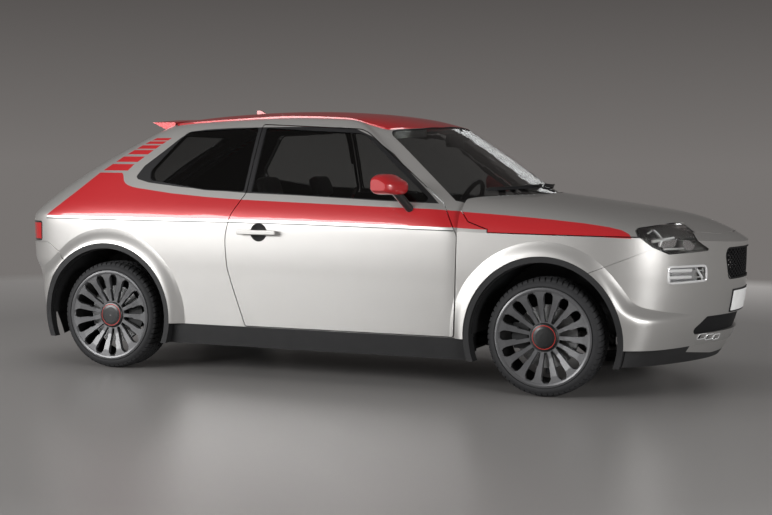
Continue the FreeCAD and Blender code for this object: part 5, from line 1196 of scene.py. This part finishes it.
def front_seat(side, s):
    """One front seat: cushion, back, head restraint on two stems, and two runners."""
    y = SEAT_Y * s
    made = [
        pad("seat_cushion_" + side, (0.245, SEAT_HALF_WIDTH, 0.068), bolsters(0.022, SEAT_PANEL),
            seat_seams(SEAT_SEAM, CUSHION_CHANNELS), moved(-0.070, y, 0.362)),
        pad("seat_back_" + side, (0.285, SEAT_HALF_WIDTH, 0.050), bolsters(0.026, SEAT_PANEL),
            seat_seams(SEAT_SEAM, BACK_CHANNELS), upright(SEAT_CORNER, y, 0.262, 0.072)),
        pad("head_restraint_" + side, (0.072, 0.128, 0.038), lambda share, place: place,
            lambda co: (), upright(SEAT_CORNER, y, 0.632, 0.045), 6)]
    for k, across in enumerate((-STEM_ACROSS, STEM_ACROSS)):
        lean = upright(SEAT_CORNER, y, 0.0, 0.050)
        stem = [lean @ Vector((height, across, 0.0)) for height in STEM_HEIGHTS]
        verts, faces = tube(stem, 0.006, 12)
        made.append(piece("head_stem_%d_%s" % (k, side), verts, faces, BODY_CHROME, BAR_ANGLE))
    for k, across in enumerate((-RUNNER_ACROSS, RUNNER_ACROSS)):
        made.append(prism_y(
            "seat_runner_%d_%s" % (k, side), RUNNER, y + across - RUNNER_HALF, y + across + RUNNER_HALF,
            (FINISHES["axle_iron"], "chassis", "seat_fabric")))
    return made


def seats():
    """Front seats and rear bench."""
    for thing in front_seat(*SIDES[0]) + front_seat(*SIDES[1]):
        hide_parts("front_seats")
    bench = [
        pad("bench_cushion", (0.160, BENCH_HALF, 0.068), bolsters(0.012, BENCH_PANEL),
            seat_seams(BENCH_SEAM, (-0.05, 0.05)), moved(-0.625, 0, 0.402), 10),
        pad("bench_back", (0.205, BENCH_HALF, 0.052), bolsters(0.012, BENCH_PANEL),
            seat_seams(BENCH_SEAM, CUSHION_CHANNELS), upright(BENCH_CORNER, 0, 0.190, 0.064), 10)]
    for thing in bench:
        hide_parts("rear_bench")


# Studio

# Name, place, aim, size, power, and whether gloss shows it
LIGHTS = [
    ("key_light", (-5.0, -6.8, 2.5), (-0.7, -0.8, 0.7), (6.0, 1.8), 620.0, True),
    ("top_light", (-1.5, 0.0, 5.0), (-0.5, 0.0, 0.9), (3.0, 2.5), 50.0, False),
    ("nose_light", (6.5, -4.5, 1.8), (1.5, -0.4, 0.5), (2.5, 1.4), 250.0, True),
    ("far_light", (-1.0, 7.5, 3.0), (-0.3, 0.0, 0.6), (6.0, 2.0), 200.0, False)]
FLOOR_HALF = 60.0
# Distances from the middle between which the floor is painted paler, as painted light where the lamps reach
# it less, and then fades into the wall
PAINTED_LIGHT_REACH = (3.6, 7.0)
FLOOR_FADE = (6.7, 7.6)
SKY_RISE = 0.12


def camera():
    data = bpy.data.cameras.new("camera")
    data.sensor_width = SENSOR_MM
    data.lens = FOCAL_PIXELS / IMAGE_WIDTH * SENSOR_MM
    data.shift_y = IMAGE_MIDDLE_SHIFT / IMAGE_WIDTH
    data.clip_end = FAR_CLIP
    eye = in_scene("camera", data)
    cos_pitch = math.cos(CAMERA_PITCH)
    forward = Vector((
        -math.sin(CAMERA_YAW) * cos_pitch, math.cos(CAMERA_YAW) * cos_pitch, -math.sin(CAMERA_PITCH)))
    turn = Matrix.Rotation(-CAMERA_ROLL, 3, forward)
    right = turn @ Vector((math.cos(CAMERA_YAW), math.sin(CAMERA_YAW), 0))
    up = right.cross(forward)
    eye.matrix_world = Matrix((
        (right.x, up.x, -forward.x, CAMERA_PLACE.x), (right.y, up.y, -forward.y, CAMERA_PLACE.y),
        (right.z, up.z, -forward.z, CAMERA_PLACE.z), (0, 0, 0, 1)))
    bpy.context.scene.camera = eye


def soft_light(name, place, aim, size, power, mirrored):
    """Area lamp that faces a point."""
    data = bpy.data.lights.new(name, "AREA")
    data.shape = "RECTANGLE"
    data.size, data.size_y = size
    data.energy = power
    lamp = in_scene(name, data)
    lamp.location = place
    lamp.visible_glossy = mirrored
    lamp.rotation_mode = "QUATERNION"
    lamp.rotation_quaternion = (Vector(aim) - Vector(place)).to_track_quat("-Z", "Y")


def sky():
    """Even light for the car, and a wall that darkens upwards for the camera, gloss and glass."""
    world = bpy.data.worlds.new("studio")
    bpy.context.scene.world = world
    world.use_nodes = True
    tree = world.node_tree
    background = tree.nodes["Background"]
    set_inputs(background, Color=SKY_LIGHT, Strength=0.42)
    shown = add(tree, "ShaderNodeBackground")
    rise = ramp(tree, axes_of(tree, "Generated")[2], 0.0, 1.0, 0.0, SKY_RISE)
    feed(tree, shown, Color=blend(tree, rise, WALL, WALL_TOP))
    rays = add(tree, "ShaderNodeLightPath").outputs
    seen = either(tree, rays["Is Camera Ray"], rays["Is Transmission Ray"], rays["Is Glossy Ray"])
    feed(tree, tree.nodes["World Output"], Surface=mix_shaders(tree, seen, background, shown))


def floor_finish(name):
    """Grey floor, painted paler away from the car as painted light where the lamps reach it less, that fades
    into the wall's colour.
    """
    material, tree, bsdf = shader(name)
    x, y, _ = axes_of(tree)
    far = length_of(tree, x, y)
    # Paler away from the car: painted light where the lamps reach the floor less.
    colour = blend(tree, ramp(tree, far, 0.0, 1.0, *PAINTED_LIGHT_REACH), PALE_NEAR, FLOOR_PAINTED_LIGHT)
    fine = ramp(tree, noise(tree, 40.0, 3.0), 0.0, 0.04)
    feed(tree, bsdf, Base_Color=blend(tree, fine, colour, BLACK))
    set_inputs(bsdf, Roughness=0.35, Specular_IOR_Level=0.3)
    glow = add(tree, "ShaderNodeEmission")
    set_inputs(glow, Color=WALL, Strength=1.0)
    fade = ramp(tree, far, 0.0, 1.0, *FLOOR_FADE)
    feed(tree, tree.nodes["Material Output"], Surface=mix_shaders(tree, fade, bsdf, glow))
    return material


def studio():
    sky()
    for light in LIGHTS:
        soft_light(*light)
    mesh = bpy.data.meshes.new("floor")
    corners = [(x * FLOOR_HALF, y * FLOOR_HALF, 0) for x, y in ((-1, -1), (1, -1), (1, 1), (-1, 1))]
    mesh.from_pydata(corners, [], [(0, 1, 2, 3)])
    mesh.materials.append(floor_finish("floor"))
    floor = in_scene("floor", mesh)
    bpy.context.scene.view_settings.view_transform = "Standard"


camera()
finish_nodes()
for wheel in WHEELS:
    tyre(wheel)
    cap_ring(wheel)
trims()
lamps()
plates()
mirrors()
seats()
studio()
